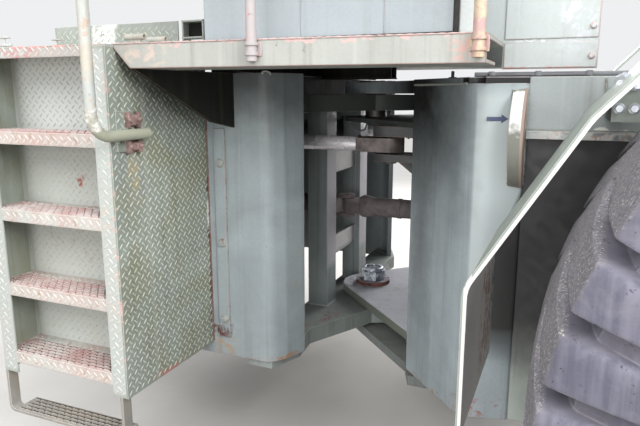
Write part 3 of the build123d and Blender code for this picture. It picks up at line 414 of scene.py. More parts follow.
# The lozenges are painted lighter than the sheet, with pale edges: wear, and a painted highlight on their ridges.
paint("raised", (184, 190, 180), rust=0.15, edge=0.9, edge_colour=(226, 228, 220), streak=0.2, bevel=0.001,
      second=((176, 178, 156), 0.3), zones=(
    # painted shade: the same deck shadow on the lozenges
    ((-410, -1300, 1330), (-370, -640, 1800), (56, 58, 56), 1.0, 1.0),))
paint("raised_step", (198, 202, 196), rust=0.2, edge=0.9, bevel=0.001, streak=0.1, edge_colour=(236, 234, 228),
      second=((214, 198, 190), 0.3))
paint("upstand", (160, 165, 158), rust=0.3, edge=0.9, edge_colour=BARE, bevel=0.0025, zones=(
    ((-780, -1010, 1600), (-650, -990, 1705), (244, 243, 238), 1.0, 0.4),
    ((-960, -1370, 1585), (-390, -1340, 1605), (216, 160, 154), 0.6, 0.4)))
paint("nosing", (196, 195, 188), rust=0.5, edge=1.0, edge_colour=(222, 217, 212), mottle=0.16, bevel=0.004,
      second=((196, 170, 164), 0.36), dust=0.15, freckle=((172, 146, 128), 0.22), zones=(
    ((-955, -1370, 1550), (-380, -1340, 1612), (180, 176, 172), 0.6, 0.3),
    ((-955, -1370, 1550), (-640, -1340, 1612), (192, 138, 138), 0.5, 0.4)))
paint("stringer", (190, 193, 190), rust=0.3, edge=1.0, edge_colour=(216, 216, 212), second=((190, 176, 168), 0.25),
      bevel=0.003, freckle=((166, 150, 136), 0.1))
paint("teeth", (196, 184, 180), rust=0.4, edge=1.0, edge_colour=(228, 220, 216), second=((168, 118, 112), 0.4),
      bevel=0.002)
M["slot"] = rusty("slot_rust", (88, 60, 58), 0.2)
paint("stirrup", (152, 150, 144), rust=0.4, edge=1.0, edge_colour=(198, 190, 184), streak=0.3, bevel=0.004,
      second=((150, 136, 116), 0.2))
M["stirrup_slot"] = rusty("slot_green", (84, 80, 68), 0.2)
paint("fascia", (169, 171, 165), rust=0.25, edge=1.0, edge_colour=(164, 92, 90), streak=0.4, bevel=0.006,
      mottle=0.07, zones=(
    ((-400, -1335, 1594), (680, -1230, 1606), (206, 170, 166), 0.6, 0.4),
    ((-400, -1335, 1530), (-200, -1290, 1598), (196, 180, 168), 0.5, 0.6),
    ((60, -1300, 1570), (400, -1240, 1600), "rust", 0.12, 0.3),
    ((570, -1262, 1530), (690, -1235, 1602), (200, 160, 150), 0.5, 0.5)))
# painted shade: a near-black copy of the paint for the deck's gusset, beam and webs, the box section's inside and
# the rear cross wall, which lie in deep shade
paint("shade", (44, 45, 42), rust=0.2, edge=0.7, edge_colour=(112, 98, 84), streak=0.25, dust=0.1, rough=0.75,
      specular=0.05)
paint("cab", (158, 166, 170), rust=0.04, edge=0.3, streak=0.12, mottle=0.05)
paint("wing", (187, 193, 192), rust=0.12, edge=0.9, streak=0.15, mottle=0.05, zones=(
    ((810, -915, 1540), (930, -880, 2005), (206, 208, 214), 0.5, 0.5),
    ((800, -915, 1700), (930, -880, 2005), (160, 162, 170), 0.3, 0.4),
    ((700, -915, 1598), (800, -880, 1612), (226, 228, 228), 0.5, 0.3),
    ((589, -915, 1520), (925, -880, 1532), (206, 150, 144), 0.8, 0.4)))
paint("rail", (176, 180, 176), rust=0.6, edge=0.4, streak=0.3, mottle=0.16, second=((190, 180, 162), 0.35),
      freckle=((186, 160, 140), 0.2), zones=(
    ((-430, -1500, 1300), (-300, -1200, 1400), (166, 168, 150), 1.0, 0.3),
    ((-380, -1490, 1330), (-340, -1440, 1420), (246, 244, 238), 0.5, 0.5)))
paint("post", (192, 184, 160), rust=0.5, edge=0.4, streak=0.35, mottle=0.14, second=((192, 162, 126), 0.4),
      freckle=((178, 120, 104), 0.2), zones=(
    ((20, -1340, 1500), (100, -1240, 2010), (172, 166, 166), 1.0, 0.1),
    ((20, -1340, 1500), (100, -1240, 1700), (190, 160, 156), 0.4, 0.4),
    ((630, -1290, 1540), (690, -1230, 1680), (184, 152, 148), 0.55, 0.4)))
paint("lip", (206, 182, 178), rust=0.7, edge=0.3, freckle=((120, 76, 72), 0.2))
M["clamp"] = rusty("clamp_rust", (146, 118, 114), 0.6, pale_colour=(196, 172, 166))
paint("fender", (168, 177, 168), rust=0.1, edge=0.8, edge_colour=(214, 214, 210), streak=0.25, bevel=0.003,
      mottle=0.1, zones=(
    # painted light: the fender's inner face over the wheel painted pale
    ((688, -1600, 600), (700, -900, 1200), (222, 220, 216), 1.0, 0.05),
    ((688, -1290, 690), (700, -1005, 1100), (168, 122, 104), 0.55, 0.6),
    ((688, -1080, 760), (700, -985, 1200), (96, 88, 84), 0.6, 0.6),
    (fender_rim, None, (250, 247, 242), 1.0, 0.0)))
paint("cylinder", (78, 80, 80), rust=0.3, edge=0.6)
paint("axle", (92, 98, 92), rust=0.3, edge=0.6, dust=0.7, streak=0.2)
paint("wheel", (136, 146, 144), rust=0.4, edge=0.8, dust=0.0)
M["shaft"] = rusty("shaft_steel", (128, 118, 118), 0.3, 22, (150, 142, 142))
M["chrome"] = rod_steel("chrome_rod")
M["zinc"] = bright_metal("zinc_bolts", (196, 200, 206), 0.42, 0.5)
M["nut"] = pin_and_nut("pin_and_nut")
M["pin"] = bright_metal("pin_steel", (122, 120, 118), 0.5, 0.7)
paint("black", (30, 30, 32), rust=0.0, edge=0.3, edge_colour=(90, 90, 90), rough=0.7, dust=0.15)
paint("pipe", (128, 130, 134), rust=0.1, edge=0.2, dust=0.3)
paint("weld", (150, 156, 150), rust=0.8, edge=0.2, streak=0.1, freckle=(RUST, 0.2))
paint("pale_weld", (186, 188, 186), rust=0.5, edge=0.2, streak=0.1)
M["rust_weld"] = rusty("rusty_weld", (112, 76, 68), 0.4, pale_colour=(214, 204, 190))
paint("arrow", (88, 96, 126), rust=0.0, edge=0.0, streak=0.15, mottle=0.22)



def both(*names):
    return tuple(name + end for name in names for end in ("_right", "_left"))


# The solids that each material dresses
DRESS = {
    "frame": both("rear_side_plate") + ("rear_flange", "rear_top_plate", "column_edge_strip"),
    "hitch": ("rear_hitch_plate_lower",),
    "hitch_shaded": ("rear_hitch_plate_upper", "front_upper_tongue"),
    "lattice": ("hitch_lattice",),
    "tongue": ("front_lower_tongue",),
    "fork": ("front_lower_fork",),
    "front": both("front_box") + ("front_top_plate", "front_wall", "front_end_plate"),
    "eye": ("lift_eyes",),
    "beam": ("front_beams",),
    "tread": ("ladder_box", "grab_rail_bracket"),
    "upstand": ("ladder_landing",),
    "nosing": ("ladder_treads",),
    "stirrup": ("ladder_stirrup",),
    "fascia": ("deck",),
    "shade": ("deck_gusset", "deck_beam", "rear_cross_wall"),
    "cab": both("cab_wall") + ("cab_wall_front", "cab_wall_rear"),
    "wing": ("cab_wing_plate",),
    "rail": ("grab_rail",),
    "post": ("rail_posts",),
    "fender": both("fender") + ("fender_stays",),
    "cylinder": both("cylinder_barrel") + ("cylinder_anchors", "steering_clevises"),
    "chrome": both("cylinder_rod"),
    "shaft": ("rear_shaft", "middle_shaft", "front_shaft"),
    "axle": ("front_axle",),
    "wheel": both("rim"),
    "rubber": both("tyre"),
    "nut": ("hitch_pin_lower",),
    "pin": ("hitch_pin_upper",),
}
M["rubber"] = rubber("tyre_rubber")
for key, names in DRESS.items():
    for name in names:
        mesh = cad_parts[name].data
        mesh.materials.clear()
        mesh.materials.append(M[key])


# Mesh helpers

def place_new(name, data):
    obj = bpy.data.objects.new(name, data)
    bpy.context.scene.collection.objects.link(obj)
    return obj


class Heap:
    """Points in machine millimetres and faces, which several small forms share."""

    def __init__(self):
        self.verts = []
        self.faces = []

    def add(self, verts, faces):
        start = len(self.verts)
        self.verts += [tuple(v) for v in verts]
        self.faces += [tuple(start + i for i in face) for face in faces]

    def make(self, name, body, slot, material, smooth=None):
        """One piece that rides on a body. smooth is the angle in degrees above which edges stay sharp."""
        mesh = bpy.data.meshes.new(name)
        mesh.from_pydata([P(*v) for v in self.verts], [], self.faces)
        mesh.validate()
        bm = bmesh.new()
        bm.from_mesh(mesh)
        bmesh.ops.recalc_face_normals(bm, faces=bm.faces)
        bm.to_mesh(mesh)
        bm.free()
        if smooth is not None:
            mesh.shade_smooth()
            mesh.set_sharp_from_angle(angle=math.radians(smooth))
        mesh.materials.append(M[material])
        obj = place_new(name, mesh)
        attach(obj, body)
        return obj


def basis(axis):
    """An axis with two directions square to it."""
    axis = Vector(axis).normalized()
    help_axis = Vector((0, 0, 1)) if abs(axis.z) < 0.9 else Vector((1, 0, 0))
    u = axis.cross(help_axis).normalized()
    return axis, u, axis.cross(u)


def ring(centre, u, v, radius, sides, start=0.0):
    turns = [start + 2 * math.pi * i / sides for i in range(sides)]
    return [centre + (u * math.cos(t) + v * math.sin(t)) * radius for t in turns]


def around(count, radius, start=0.0):
    """The turn and the two offsets of points on a circle, from a start in degrees."""
    turns = [math.radians(360 / count * i + start) for i in range(count)]
    return [(t, radius * math.cos(t), radius * math.sin(t)) for t in turns]


def skin(heap, rings, closed=False):
    """Joins rings of points. The end rings are capped, or joined to each other where it is closed."""
    sides, count = len(rings[0]), len(rings)
    faces = []
    for row in range(count if closed else count - 1):
        after = (row + 1) % count
        for i in range(sides):
            j = (i + 1) % sides
            faces.append((row * sides + i, row * sides + j, after * sides + j, after * sides + i))
    if not closed:
        faces += [tuple(reversed(range(sides))), tuple(range((count - 1) * sides, count * sides))]
    heap.add([point for points in rings for point in points], faces)


def turned(heap, centre, axis, profile, sides=24, start=0.0, closed=False):
    """A form turned about an axis: profile lists (distance along the axis, radius)."""
    axis, u, v = basis(axis)
    centre = Vector(centre)
    skin(heap, [ring(centre + axis * along, u, v, radius, sides, start) for along, radius in profile], closed)


def bolt(heap, centre, axis, flats, height, washer=True, turn=0.0):
    """A hexagon head with chamfered corners on its washer."""
    r = flats / math.sqrt(3)
    base = 0.0
    if washer:
        turned(heap, centre, axis, [(0, r * 1.25), (flats * 0.09, r * 1.25), (flats * 0.11, r * 1.18)], 20)
        base = flats * 0.11
    turned(heap, centre, axis, [(base - 0.2, r), (base + height * 0.84, r), (base + height, r * 0.86)], 6, turn)


def bead(heap, path, radius, ripple=0.28, step=7.0):
    """A weld bead along a line: a rippled tube that is half sunk into the corner it fills."""
    points = [Vector(p) for p in path]
    spots = []
    for a, b in zip(points, points[1:]):
        count = max(2, int((b - a).length / step))
        spots += [(a.lerp(b, i / count), (b - a).normalized()) for i in range(count)]
    spots.append((points[-1], (points[-1] - points[-2]).normalized()))
    rings = []
    for index, (centre, along) in enumerate(spots):
        _, u, v = basis(along)
        swell = radius * (1 + ripple * (0.5 if index % 2 else -0.5) + DRAW.uniform(-0.16, 0.16))
        rings.append(ring(centre, u, v, swell, 6))
    skin(heap, rings)


def tube(heap, path, radius, sides=12, bend=0.0, steps=6):
    """A round bar or pipe along a line, with its corners rounded."""
    points = [Vector(p) for p in path]
    line = [points[0]]
    for before, corner, after in zip(points, points[1:], points[2:]):
        back, ahead = (before - corner).normalized() * bend, (after - corner).normalized() * bend
        line += [corner + back * (1 - i / steps) ** 2 + ahead * (i / steps) ** 2 for i in range(steps + 1)]
    line.append(points[-1])
    rings, side = [], None
    for index, centre in enumerate(line):
        axis = (line[min(index + 1, len(line) - 1)] - line[max(index - 1, 0)]).normalized()
        if side is None:
            side = basis(axis)[1]
        side = (side - axis * side.dot(axis)).normalized()
        rings.append(ring(centre, side, axis.cross(side), radius, sides))
    skin(heap, rings)


def plate(heap, low, high, chamfer=1.5):
    """A flat bar between two corners, its edges broken by a small chamfer."""
    lo = [min(a, b) for a, b in zip(low, high)]
    hi = [max(a, b) for a, b in zip(low, high)]
    c = min(chamfer, min(b - a for a, b in zip(lo, hi)) * 0.4)
    bm = bmesh.new()
    bmesh.ops.create_cube(bm, size=1)
    for v in bm.verts:
        v.co = Vector([lo[i] + (v.co[i] + 0.5) * (hi[i] - lo[i]) for i in range(3)])
    bmesh.ops.bevel(bm, geom=list(bm.edges), offset=c, segments=1, affect="EDGES")
    bm.verts.index_update()
    heap.add([v.co.copy() for v in bm.verts], [[v.index for v in f.verts] for f in bm.faces])
    bm.free()


def plates(name, body, slot, material, rows, smooth=None):
    """One piece of flat bars, each given by two corners and a chamfer."""
    heap = Heap()
    for low, high, chamfer in rows:
        plate(heap, low, high, chamfer)
    heap.make(name, body, slot, material, smooth)


def welds(name, body, material, rows):
    """One piece of weld beads, each given by its line and radius."""
    heap = Heap()
    for path, radius in rows:
        bead(heap, path, radius)
    heap.make(name, body, "frame_paint", material, 40)


# Tread plate: raised lozenges that lean left and right by turns

LOZENGE = (25.0, 7.0, 1.7)  # length, width and height
PITCH = (30.0, 31.0)  # across and up the sheet, of lozenges that lean the same way


def lozenges(heap, corner, u, v, width, height):
    """Fills a rectangle of sheet with lozenges. u and v are its directions, and u x v faces out."""
    corner, u, v = Vector(corner), Vector(u), Vector(v)
    out = u.cross(v)
    length, wide, tall = LOZENGE
    columns = int(width / (PITCH[0] / 2)) + 1
    rows = int(height / (PITCH[1] / 2)) + 1
    reach = length / 2 * math.sqrt(0.5) + 1
    for i in range(columns):
        for j in range(rows):
            if (i + j) % 2:
                continue
            a, b = i * PITCH[0] / 2, j * PITCH[1] / 2
            if a < reach or a > width - reach or b < reach or b > height - reach:
                continue
            lean = 1 if j % 2 else -1
            along = (u + v * lean).normalized()
            across = out.cross(along)
            middle = corner + u * a + v * b
            base = middle - out * 0.3
            top = middle + out * tall
            verts = [base + along * length * a + across * wide * b
                     for a, b in ((0.5, 0), (0.2, 0.5), (-0.2, 0.5), (-0.5, 0), (-0.2, -0.5), (0.2, -0.5))]
            verts += [top + along * length * a for a in (0.24, -0.24)]
            heap.add(verts, [(0, 1, 6), (1, 2, 7, 6), (2, 3, 7), (3, 4, 7), (4, 5, 6, 7), (5, 0, 6),
                             (5, 4, 3, 2, 1, 0)])


# Ladder box: its ends, its outer face, its foot and the landing on top. Then the tops of the steps' faces
# less NOSE_H, the width of the strips beside them, the steps' depth and the sheet's thickness.
X, Y, Z = Vector((1, 0, 0)), Vector((0, 1, 0)), Vector((0, 0, 1))
LX0, LX1, LY, LZ0, LANDING = -950.0, -395.0, -1359.0, 478.0, 1600.0
NOSES = (1566.0, 1295.0, 1035.0, 770.0, 517.0)
NOSE_H, STRINGER, DEPTH, SHEET = 41.0, 62.0, 155.0, 6.0
WIDTH, TALL = LX1 - LX0, LANDING - SHEET - LZ0
DECK_Z = 1602.0


def pattern(name, material, rows):
    """One piece of lozenges on several sheets."""
    heap = Heap()
    for row in rows:
        lozenges(heap, *row)
    heap.make("tread_pattern_" + name, REAR, "tread_plate", material)


heights = [LZ0] + [n + NOSE_H for n in reversed(NOSES)]
# Both ends, the grab rail's bracket and the risers
pattern("sides", "raised", [((LX1, LY, LZ0), Y, Z, 509, TALL), ((LX0, -850, LZ0), -Y, Z, 509, TALL),
                            ((LX1 + 8, LY + 15, 1299.5), Y, Z, 86, 105)]
        + [((LX0 + 8, LY + DEPTH, low), X, Z, WIDTH - 16, high - SHEET - low)
           for low, high in zip(heights, heights[1:])])
pattern("upstand", "raised", [((LX0, -1000, LANDING), X, Z, WIDTH, 100)])
faces_rows = []
for z in NOSES:
    faces_rows.append(((LX0 + STRINGER, LY, z - 6), X, Z, WIDTH - 2 * STRINGER, NOSE_H + 12))
    if z != NOSES[0]:
        faces_rows.append(((LX0 + 8, LY + 105, z + NOSE_H), X, Y, WIDTH - 16, DEPTH - 107))
pattern("steps", "raised_step", faces_rows)
pattern("stringers", "raised_step", [((x, LY, LZ0), X, Z, STRINGER, TALL) for x in (LX0, LX1 - STRINGER)])
pattern("top", "raised", [((LX0, LY, LANDING), X, Y, WIDTH, 353), ((LX0, -992, LANDING), X, Y, WIDTH, 140),
                          ((-392, -1300, DECK_Z), X, Y, 235, 1995)])


# Serrated rows on the steps: teeth that were punched up, with a slot in front of each

TOOTH, TOOTH_PITCH, TOOTH_HEIGHT = 28, 31.0, 6.0


def toothed(name, x0, x1, y0, y1, z, teeth_material, slot_material, row=18.0):
    teeth, slots = Heap(), Heap()
    for r in range(int((y1 - y0) / row) + 1):
        y = y0 + r * row
        x = x0 + (TOOTH_PITCH / 2 if r % 2 else 0) + 2
        while x + TOOTH <= x1:
            tall = TOOTH_HEIGHT + DRAW.uniform(-0.7, 0.4)
            foot = [(x + a, y + b, z - 1) for a, b in ((0, -2.5), (TOOTH, -2.5), (TOOTH, 4), (0, 4))]
            crest = [(x + a, y + b, z + tall * c) for a, b, c in ((3, -1.5, 1), (TOOTH - 3, -1.5, 1),
                                                                  (TOOTH - 3, 1.2, 0.8), (3, 1.2, 0.8))]
            skin(teeth, [foot, crest])
            gap = [(x + a, y + b) for a, b in ((1, 5), (TOOTH - 1, 5), (TOOTH + 1, 8), (TOOTH - 1, 11), (1, 11),
                                               (-1, 8))]
            skin(slots, [[(*spot, z + 0.35) for spot in gap], [(*spot, z - 0.6) for spot in gap]])
            x += TOOTH_PITCH
    teeth.make(name + "_teeth", REAR, "tread_plate", teeth_material)
    slots.make(name + "_slots", REAR, "tread_plate", slot_material)


for number, z in enumerate(NOSES[1:], 1):
    toothed("step_%d" % number, LX0 + 14, LX1 - 14, LY + 9, LY + 99, z + NOSE_H, "teeth", "slot")
toothed("stirrup", -918, -451, -1350, -1280, 328, "stirrup", "stirrup_slot", 17.5)


# Tyres: a smooth worn centre with curved lugs that run over the shoulders. A groove has a steep wall on
# the side of the lug above it in the photograph, and a worn slope on the other.

LUGS = 44
TYRE_START = 85.5  # turn of the first lug, in degrees
# half width and radius on the lug, the same on the groove's floor, share of the pitch that a lug fills, sweep
TYRE_ROWS = (
    (0, 882, 0, 882, 0.94, 0.0),
    (36, 882, 36, 882, 0.90, 0.0),
    (58, 882, 58, 872, 0.77, 0.2),
    (80, 881.5, 80, 850, 0.72, 0.7),
    (104, 881, 104, 840, 0.69, 1.3),
    (130, 880, 130, 835, 0.70, 2.0),
    (160, 878, 160, 832, 0.71, 2.8),
    (205, 873.5, 204, 827, 0.71, 3.4),
    (240, 869, 236, 822, 0.70, 3.7),
    (260, 866, 252, 818, 0.69, 3.9),
    (272, 864, 261, 813, 0.68, 4.1),
    (276, 859, 264, 806, 0.67, 4.2),
    (280, 840, 266, 792, 0.66, 4.3),
    (287, 800, 272, 768, 0.65, 4.4),
    (293, 762, 280, 744, 0.64, 4.5),
    (296, 735, 288, 724, 0.64, 4.5),
    (298, 712, 297, 708, 0.64, 4.5),
)
# the smooth side below them, down to the rim and up inside
WALL_ROWS = ((299.5, 690), (300, 640), (299, 590), (292, 540), (284, 496), (286, 486), (280, 474), (270, 420),
             (262, 380), (252, 350), (245, 335.2), (200, 335.2), (262, 595), (250, 720), (185, 790))


def tyre(side_name):
    side = SIDES[side_name]
    half = [((w, r), (fw, fr), share, sweep) for w, r, fw, fr, share, sweep in TYRE_ROWS]
    half += [((w, r), (w, r), 0.64, 4.5) for w, r in WALL_ROWS]
    rows = [((-t[0], t[1]), (-f[0], f[1]), share, sweep) for t, f, share, sweep in reversed(half[1:])] + half
    pitch = 2 * math.pi / LUGS
    rings = []
    for (tw, tr), (fw, fr), share, sweep in rows:
        stagger = (0.5 if tw * side < 0 else 0.0) * min(1.0, abs(tw) / 62)
        points = []
        for lug in range(LUGS):
            # offset in pitches, and how far up the groove the point stands
            for offset, up in ((-share / 2 + 0.045, 1), (-share / 6, 1), (share / 6, 1), (share / 2, 1),
                               (share / 2 + 0.02, 0), (0.5, 0), (1 - share / 2 - 0.075, 0),
                               (1 - share / 2 - 0.005, 0.8)):
                turn = math.radians(TYRE_START + sweep) + (lug + 0.5 + offset + stagger) * pitch
                w, r = fw + (tw - fw) * up, fr + (tr - fr) * up
                points.append((AXLE_X + r * math.cos(turn), side * WHEEL_Y + w, AXLE_Z + r * math.sin(turn)))
        rings.append(points)
    heap = Heap()
    skin(heap, rings, True)
    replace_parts(heap.make("tyre_body_" + side_name, "wheel_" + side_name, "tyre_rubber", "rubber", 34),
                "tyre_" + side_name)


for side_name in SIDES:
    tyre(side_name)


# Small parts. Each heap is one piece, named for what it holds.

# Boarding ladder: weld, the grab rail's two bolted blocks, tabs along the landing
welds("ladder_column_weld", REAR, "rust_weld", [([(LX1, -850, LZ0 + 4), (LX1, -850, LANDING - 12)], 4)])

blocks = Heap()
for low, high in ((1352, 1402), (1276, 1318)):
    plate(blocks, (-396, -1300, low + 8), (-374, -1246, high - 8), 3)
    plate(blocks, (-396, -1302, low), (-370, -1290, high), 3)
    plate(blocks, (-396, -1256, low), (-370, -1244, high), 3)
    for y in (-1296, -1250):
        bolt(blocks, (-370.5, y, (low + high) / 2), X, 11, 5)
    for y in (-1284, -1274, -1264):
        plate(blocks, (-375, y, low + 9), (-370, y + 4, high - 9), 1.2)
blocks.make("grab_rail_clamp_blocks", REAR, "pin_steel", "clamp", 40)

tabs = Heap()
for x0, x1, z0, z1 in ((-836, -784, 1604, 1611), (-832, -789, 1628, 1634), (-610, -576, 1615, 1620)):
    plate(tabs, (x0, -1348, z0), (x1, -1336, z1), 1.5)
    plate(tabs, ((x0 + x1) / 2 - 1.5, -1344, 1598), ((x0 + x1) / 2 + 1.5, -1340, z0 + 2), 0.6)
tabs.make("landing_tabs", REAR, "frame_paint", "stringer", 40)

# Deck's rear end: two open tubes on legs and a box section, with a dark plate and discs inside them as painted shade
spigots, shade_inside = Heap(), Heap()
plate(shade_inside, (-370, -972, 1645), (-293, -966, 1695), 1)
for y in (-1300, -1200):
    turned(spigots, (-364, y, 1620), X, [(0, 9), (68, 9), (68, 6.5), (0, 6.5)], 20, closed=True)
    plate(spigots, (-352, y - 3, 1599), (-310, y + 3, 1613), 1)
    turned(shade_inside, (-330, y, 1620), X, [(0, 7), (2, 7)], 16)
spigots.make("deck_edge_spigots", REAR, "frame_paint", "rail", 50)
plates("deck_box_section", REAR, "frame_paint", "upstand", [
    ((-375, -1006, DECK_Z), (-369, -960, 1700), 1.2), ((-294, -1006, DECK_Z), (-288, -960, 1700), 1.2),
    ((-375, -1006, 1694), (-288, -960, 1700), 1.2), ((-375, -1006, 1640), (-288, -960, 1646), 1.2)], 40)
shade_inside.make("deck_box_section_shade", REAR, "frame_paint", "shade")

# Column: dome-headed bolts on the edge strip, the strip's and the gusset's welds, a cable hook
domes = Heap()
for z in (1202, 894, 584):
    turned(domes, (-335, -858, z), -Y, [(-1, 17), (1.5, 17), (4, 15), (7, 11), (8.6, 6), (9, 0.5)], 24)
domes.make("column_strip_bolts", REAR, "pin_steel", "weld", 60)
welds("column_welds", REAR, "weld", [([(-283, -851, 1337), (-283, -851, 1528)], 4.5),
                                     ([(-362, -853, 512), (-362, -853, 1328)], 2.6),
                                     ([(-316, -853, 512), (-316, -853, 1328)], 2.6)])
hook = Heap()
tube(hook, [(-154, -846, 1526), (-154, -850, 1532), (-138, -850, 1535), (-122, -850, 1529), (-122, -846, 1522)],
     3.2, 10, 4, 3)
hook.make("cable_hook", REAR, "pin_steel", "pale_weld", 60)

# Hitch: castle nut with its split pin, upper pin's cap, beads around the posts, grease pipe
castle = Heap()
turned(castle, (0, 0, 0), Z, [(588.6, 50), (603, 50), (604.5, 48), (604.5, 37), (588.6, 37)], 36, closed=True)
for _, x, y in around(6, 43.5):
    turned(castle, (x, y, 599), (x, y, 0), [(-6.8, 4.4), (7.4, 4.4)], 8)
tube(castle, [(-52, -6, 597), (52, 6, 597)], 3.4, 8)
tube(castle, [(52, 6, 597), (60, 14, 594), (58, 26, 588)], 2.6, 8, 6, 3)
tube(castle, [(52, 6, 597), (61, -2, 599), (60, -14, 600)], 2.6, 8, 6, 3)
castle.make("nut_collar", FRONT, "pin_steel", "nut", 40)

CAP_Z = 1513.5
cap = Heap()
for turn, x, y in around(6, 62, 15):
    bolt(cap, (x, y, CAP_Z), Z, 22, 3, False, turn)
turned(cap, (0, 0, CAP_Z), Z, [(-0.5, 26), (2, 26), (3, 24), (3, 9)], 24)
cap.make("pin_cap_bolts", FRONT, "pin_steel", "pin", 40)

rows = []
for side in (-1, 1):
    foot = [(-135, 172), (-135, 283), (-230, 283), (-230, 172), (-135, 172)]
    rows += [([(x, side * y, z) for x, y in foot], 4.2) for z in (471.5, 1382.5)]
for low, high in ((683, 775), (1087, 1200)):
    rows += [([(-160, y, low), (-160, y, high)], 3.4) for y in (-170.5, 170.5)]
for z in (470.8, 1452.8):
    rows += [([(-246, side * 815, z), (-120, side * 690, z)], 4) for side in (-1, 1)]
welds("hitch_welds", REAR, "pale_weld", rows)

grease = Heap()
tube(grease, [(-95, -95, 1331), (-112, -128, 1322), (-60, -150, 1303), (-23, -150, 1289), (-6, -138, 1296),
              (-2, -120, 1331)], 4.5, 10, 10, 5)
for x, y in ((-95, -95), (-2, -120)):
    turned(grease, (x, y, 1324), Z, [(0, 8), (7, 8)], 6)
grease.make("grease_pipe", FRONT, "pin_steel", "pipe", 60)

# Steering cylinders: bolts on the gland, wiper ring, a band, oil ports, the weld at the rod's eye
CYLINDER_Z = 1253
CYLINDER_WAY = Vector((1120, 30, 0)).normalized()
for side_name, side in SIDES.items():
    along = Vector((CYLINDER_WAY.x, -CYLINDER_WAY.y * side, 0)).normalized()
    start = Vector((-930, side * 430, CYLINDER_Z))
    _, u, v = basis(along)
    gland = Heap()
    face = start + along * 705
    for _, a, b in around(8, 50, 20):
        bolt(gland, face + u * a + v * b, along, 12, 8, False)
    turned(gland, face, along, [(-1, 41), (5, 41), (7, 38), (7, 31.5), (-1, 31.5)], 28, closed=True)
    turned(gland, start + along * 648, along, [(-7, 57), (-7, 62), (0, 62), (0, 57)], 32, closed=True)
    for reach in (130, 610):
        turned(gland, start + along * reach + Z * 52, Z,
               [(0, 22), (14, 22), (18, 17), (18, 12), (30, 12), (30, 8)], 18)
    gland.make("cylinder_fittings_" + side_name, "barrel_" + side_name, "cylinder_paint", "cylinder", 40)
    eye_weld = Heap()
    head = start + along * (start - Vector((190, side * 400, CYLINDER_Z))).length
    turned(eye_weld, head - along * 130, along, [(-7, 29), (-7, 31), (-4, 36), (0, 38), (2, 36), (2, 29)], 28,
           closed=True)
    eye_weld.make("rod_eye_weld_" + side_name, "rod_" + side_name, "cylinder_paint", "rust_weld", 40)

# Driveshaft: caps on the cross, collars on the middle shaft, flange and bearing bolts
SHAFT_Z = 910
caps = Heap()
for z, way in ((964, 1), (856, -1)):
    turned(caps, (-130, 0, z), Vector((0, 0, way)), [(-1, 22), (3, 22), (4.5, 20), (4.5, 0.5)], 24)
caps.make("cross_caps", REAR, "pin_steel", "shaft", 40)
collar = Heap()
for profile in ([(-69, 45), (-64, 50), (-52, 55), (-36, 55), (-20, 51), (-6, 48), (0, 45)],
                [(118, 45), (121, 49), (139, 49), (142, 45)],
                [(566, 45), (570, 58), (590, 62), (602, 62), (602, 20)]):
    turned(collar, (0, 0, SHAFT_Z), X, profile, 32)
collar.make("shaft_collars", "middle_shaft", "pin_steel", "shaft", 50)
for name, body, count, x, radius, start, way in (("flange", FRONT, 10, 670, 166, 0, -X),
                                                 ("bearing", REAR, 8, -960, 143, 10, X)):
    heads = Heap()
    for _, y, z in around(count, radius, start):
        bolt(heads, (x, y, SHAFT_Z + z), way, 19, 12)
    heads.make("shaft_%s_bolts" % name, body, "pin_steel", "zinc", 40)


# Deck: webs under it, a bead along its edge, bands at the posts' feet, the cab's seals,
# its door jamb and folds, and the two sheets on the wing plate

def edge_y(x):
    return -1322 + (x + 395) / 1063 * 77


CAB_TRIM_TOP = 1998
plates("deck_under_webs", REAR, "frame_paint", "shade", [
    ((-266, -46, 1524), (84, -34, 1590), 1.5), ((-266, 34, 1524), (84, 46, 1590), 1.5),
    ((-266, -60, 1524), (84, 60, 1530), 1.5)])
trim = Heap()
bead(trim, [(x, edge_y(x) - 0.5, 1601) for x in (-393, 666)], 2.4, 0.5, 13)
trim.make("deck_edge_bead", REAR, "frame_paint", "lip", 40)
bands = Heap()
for x in (60, 652):
    y = edge_y(x) - 15.3
    for z in (1562, 1588):
        turned(bands, (x, y, z), Z, [(-5, 15), (-5, 18.5), (5, 18.5), (5, 15)], 20, closed=True)
    plate(bands, (x - 24, y + 12, 1556), (x + 24, y + 17, 1594), 1.5)
bands.make("post_clamps", REAR, "frame_paint", "post", 40)
plates("cab_seals", REAR, "cab_paint", "black", [((578, -1206, 1604), (592, -1199, CAB_TRIM_TOP), 2),
                                                 ((-150, -1206, DECK_Z), (586, -1199, 1611), 2)])
plates("cab_jamb", REAR, "cab_paint", "wing", [((594, -1204, 1603), (629, -1180, CAB_TRIM_TOP), 2)])
plates("cab_folds", REAR, "cab_paint", "cab", [
    ((x - 1.5, -1202.4, 1612), (x + 1.5, -1199, CAB_TRIM_TOP), 0.8) for x in (160, 400)])
overlay = Heap()
for low, high in ((1529, 1601), (1609, CAB_TRIM_TOP)):
    plate(overlay, (672, -909, low), (920, -904, high), 2)
for z in (1560, 1640, 1800, 1960):
    bolt(overlay, (905, -909, z), -Y, 13, 6)
overlay.make("wing_overlays", REAR, "cab_paint", "wing", 40)

# Front frame: stop pin, arrow plate, rubber strips on the top plate, clamped steel pipe, welds
stop = Heap()
turned(stop, (527, -905, 1503), Z, [(0, 12), (3, 12), (3, 5), (20, 5), (21, 2)], 20)
stop.make("stop_pin", FRONT, "pin_steel", "black", 40)


def box_face(share, z, out=0.0):
    """A point on the box's slanted rear face, from its back corner at 0 to its front one at 1."""
    a, b = Vector((355, -690, 0)), Vector((603, -964, 0))
    n = Vector((a.y - b.y, b.x - a.x, 0)).normalized() * -1
    p = a.lerp(b, share) + n * out
    return (p.x, p.y, z)


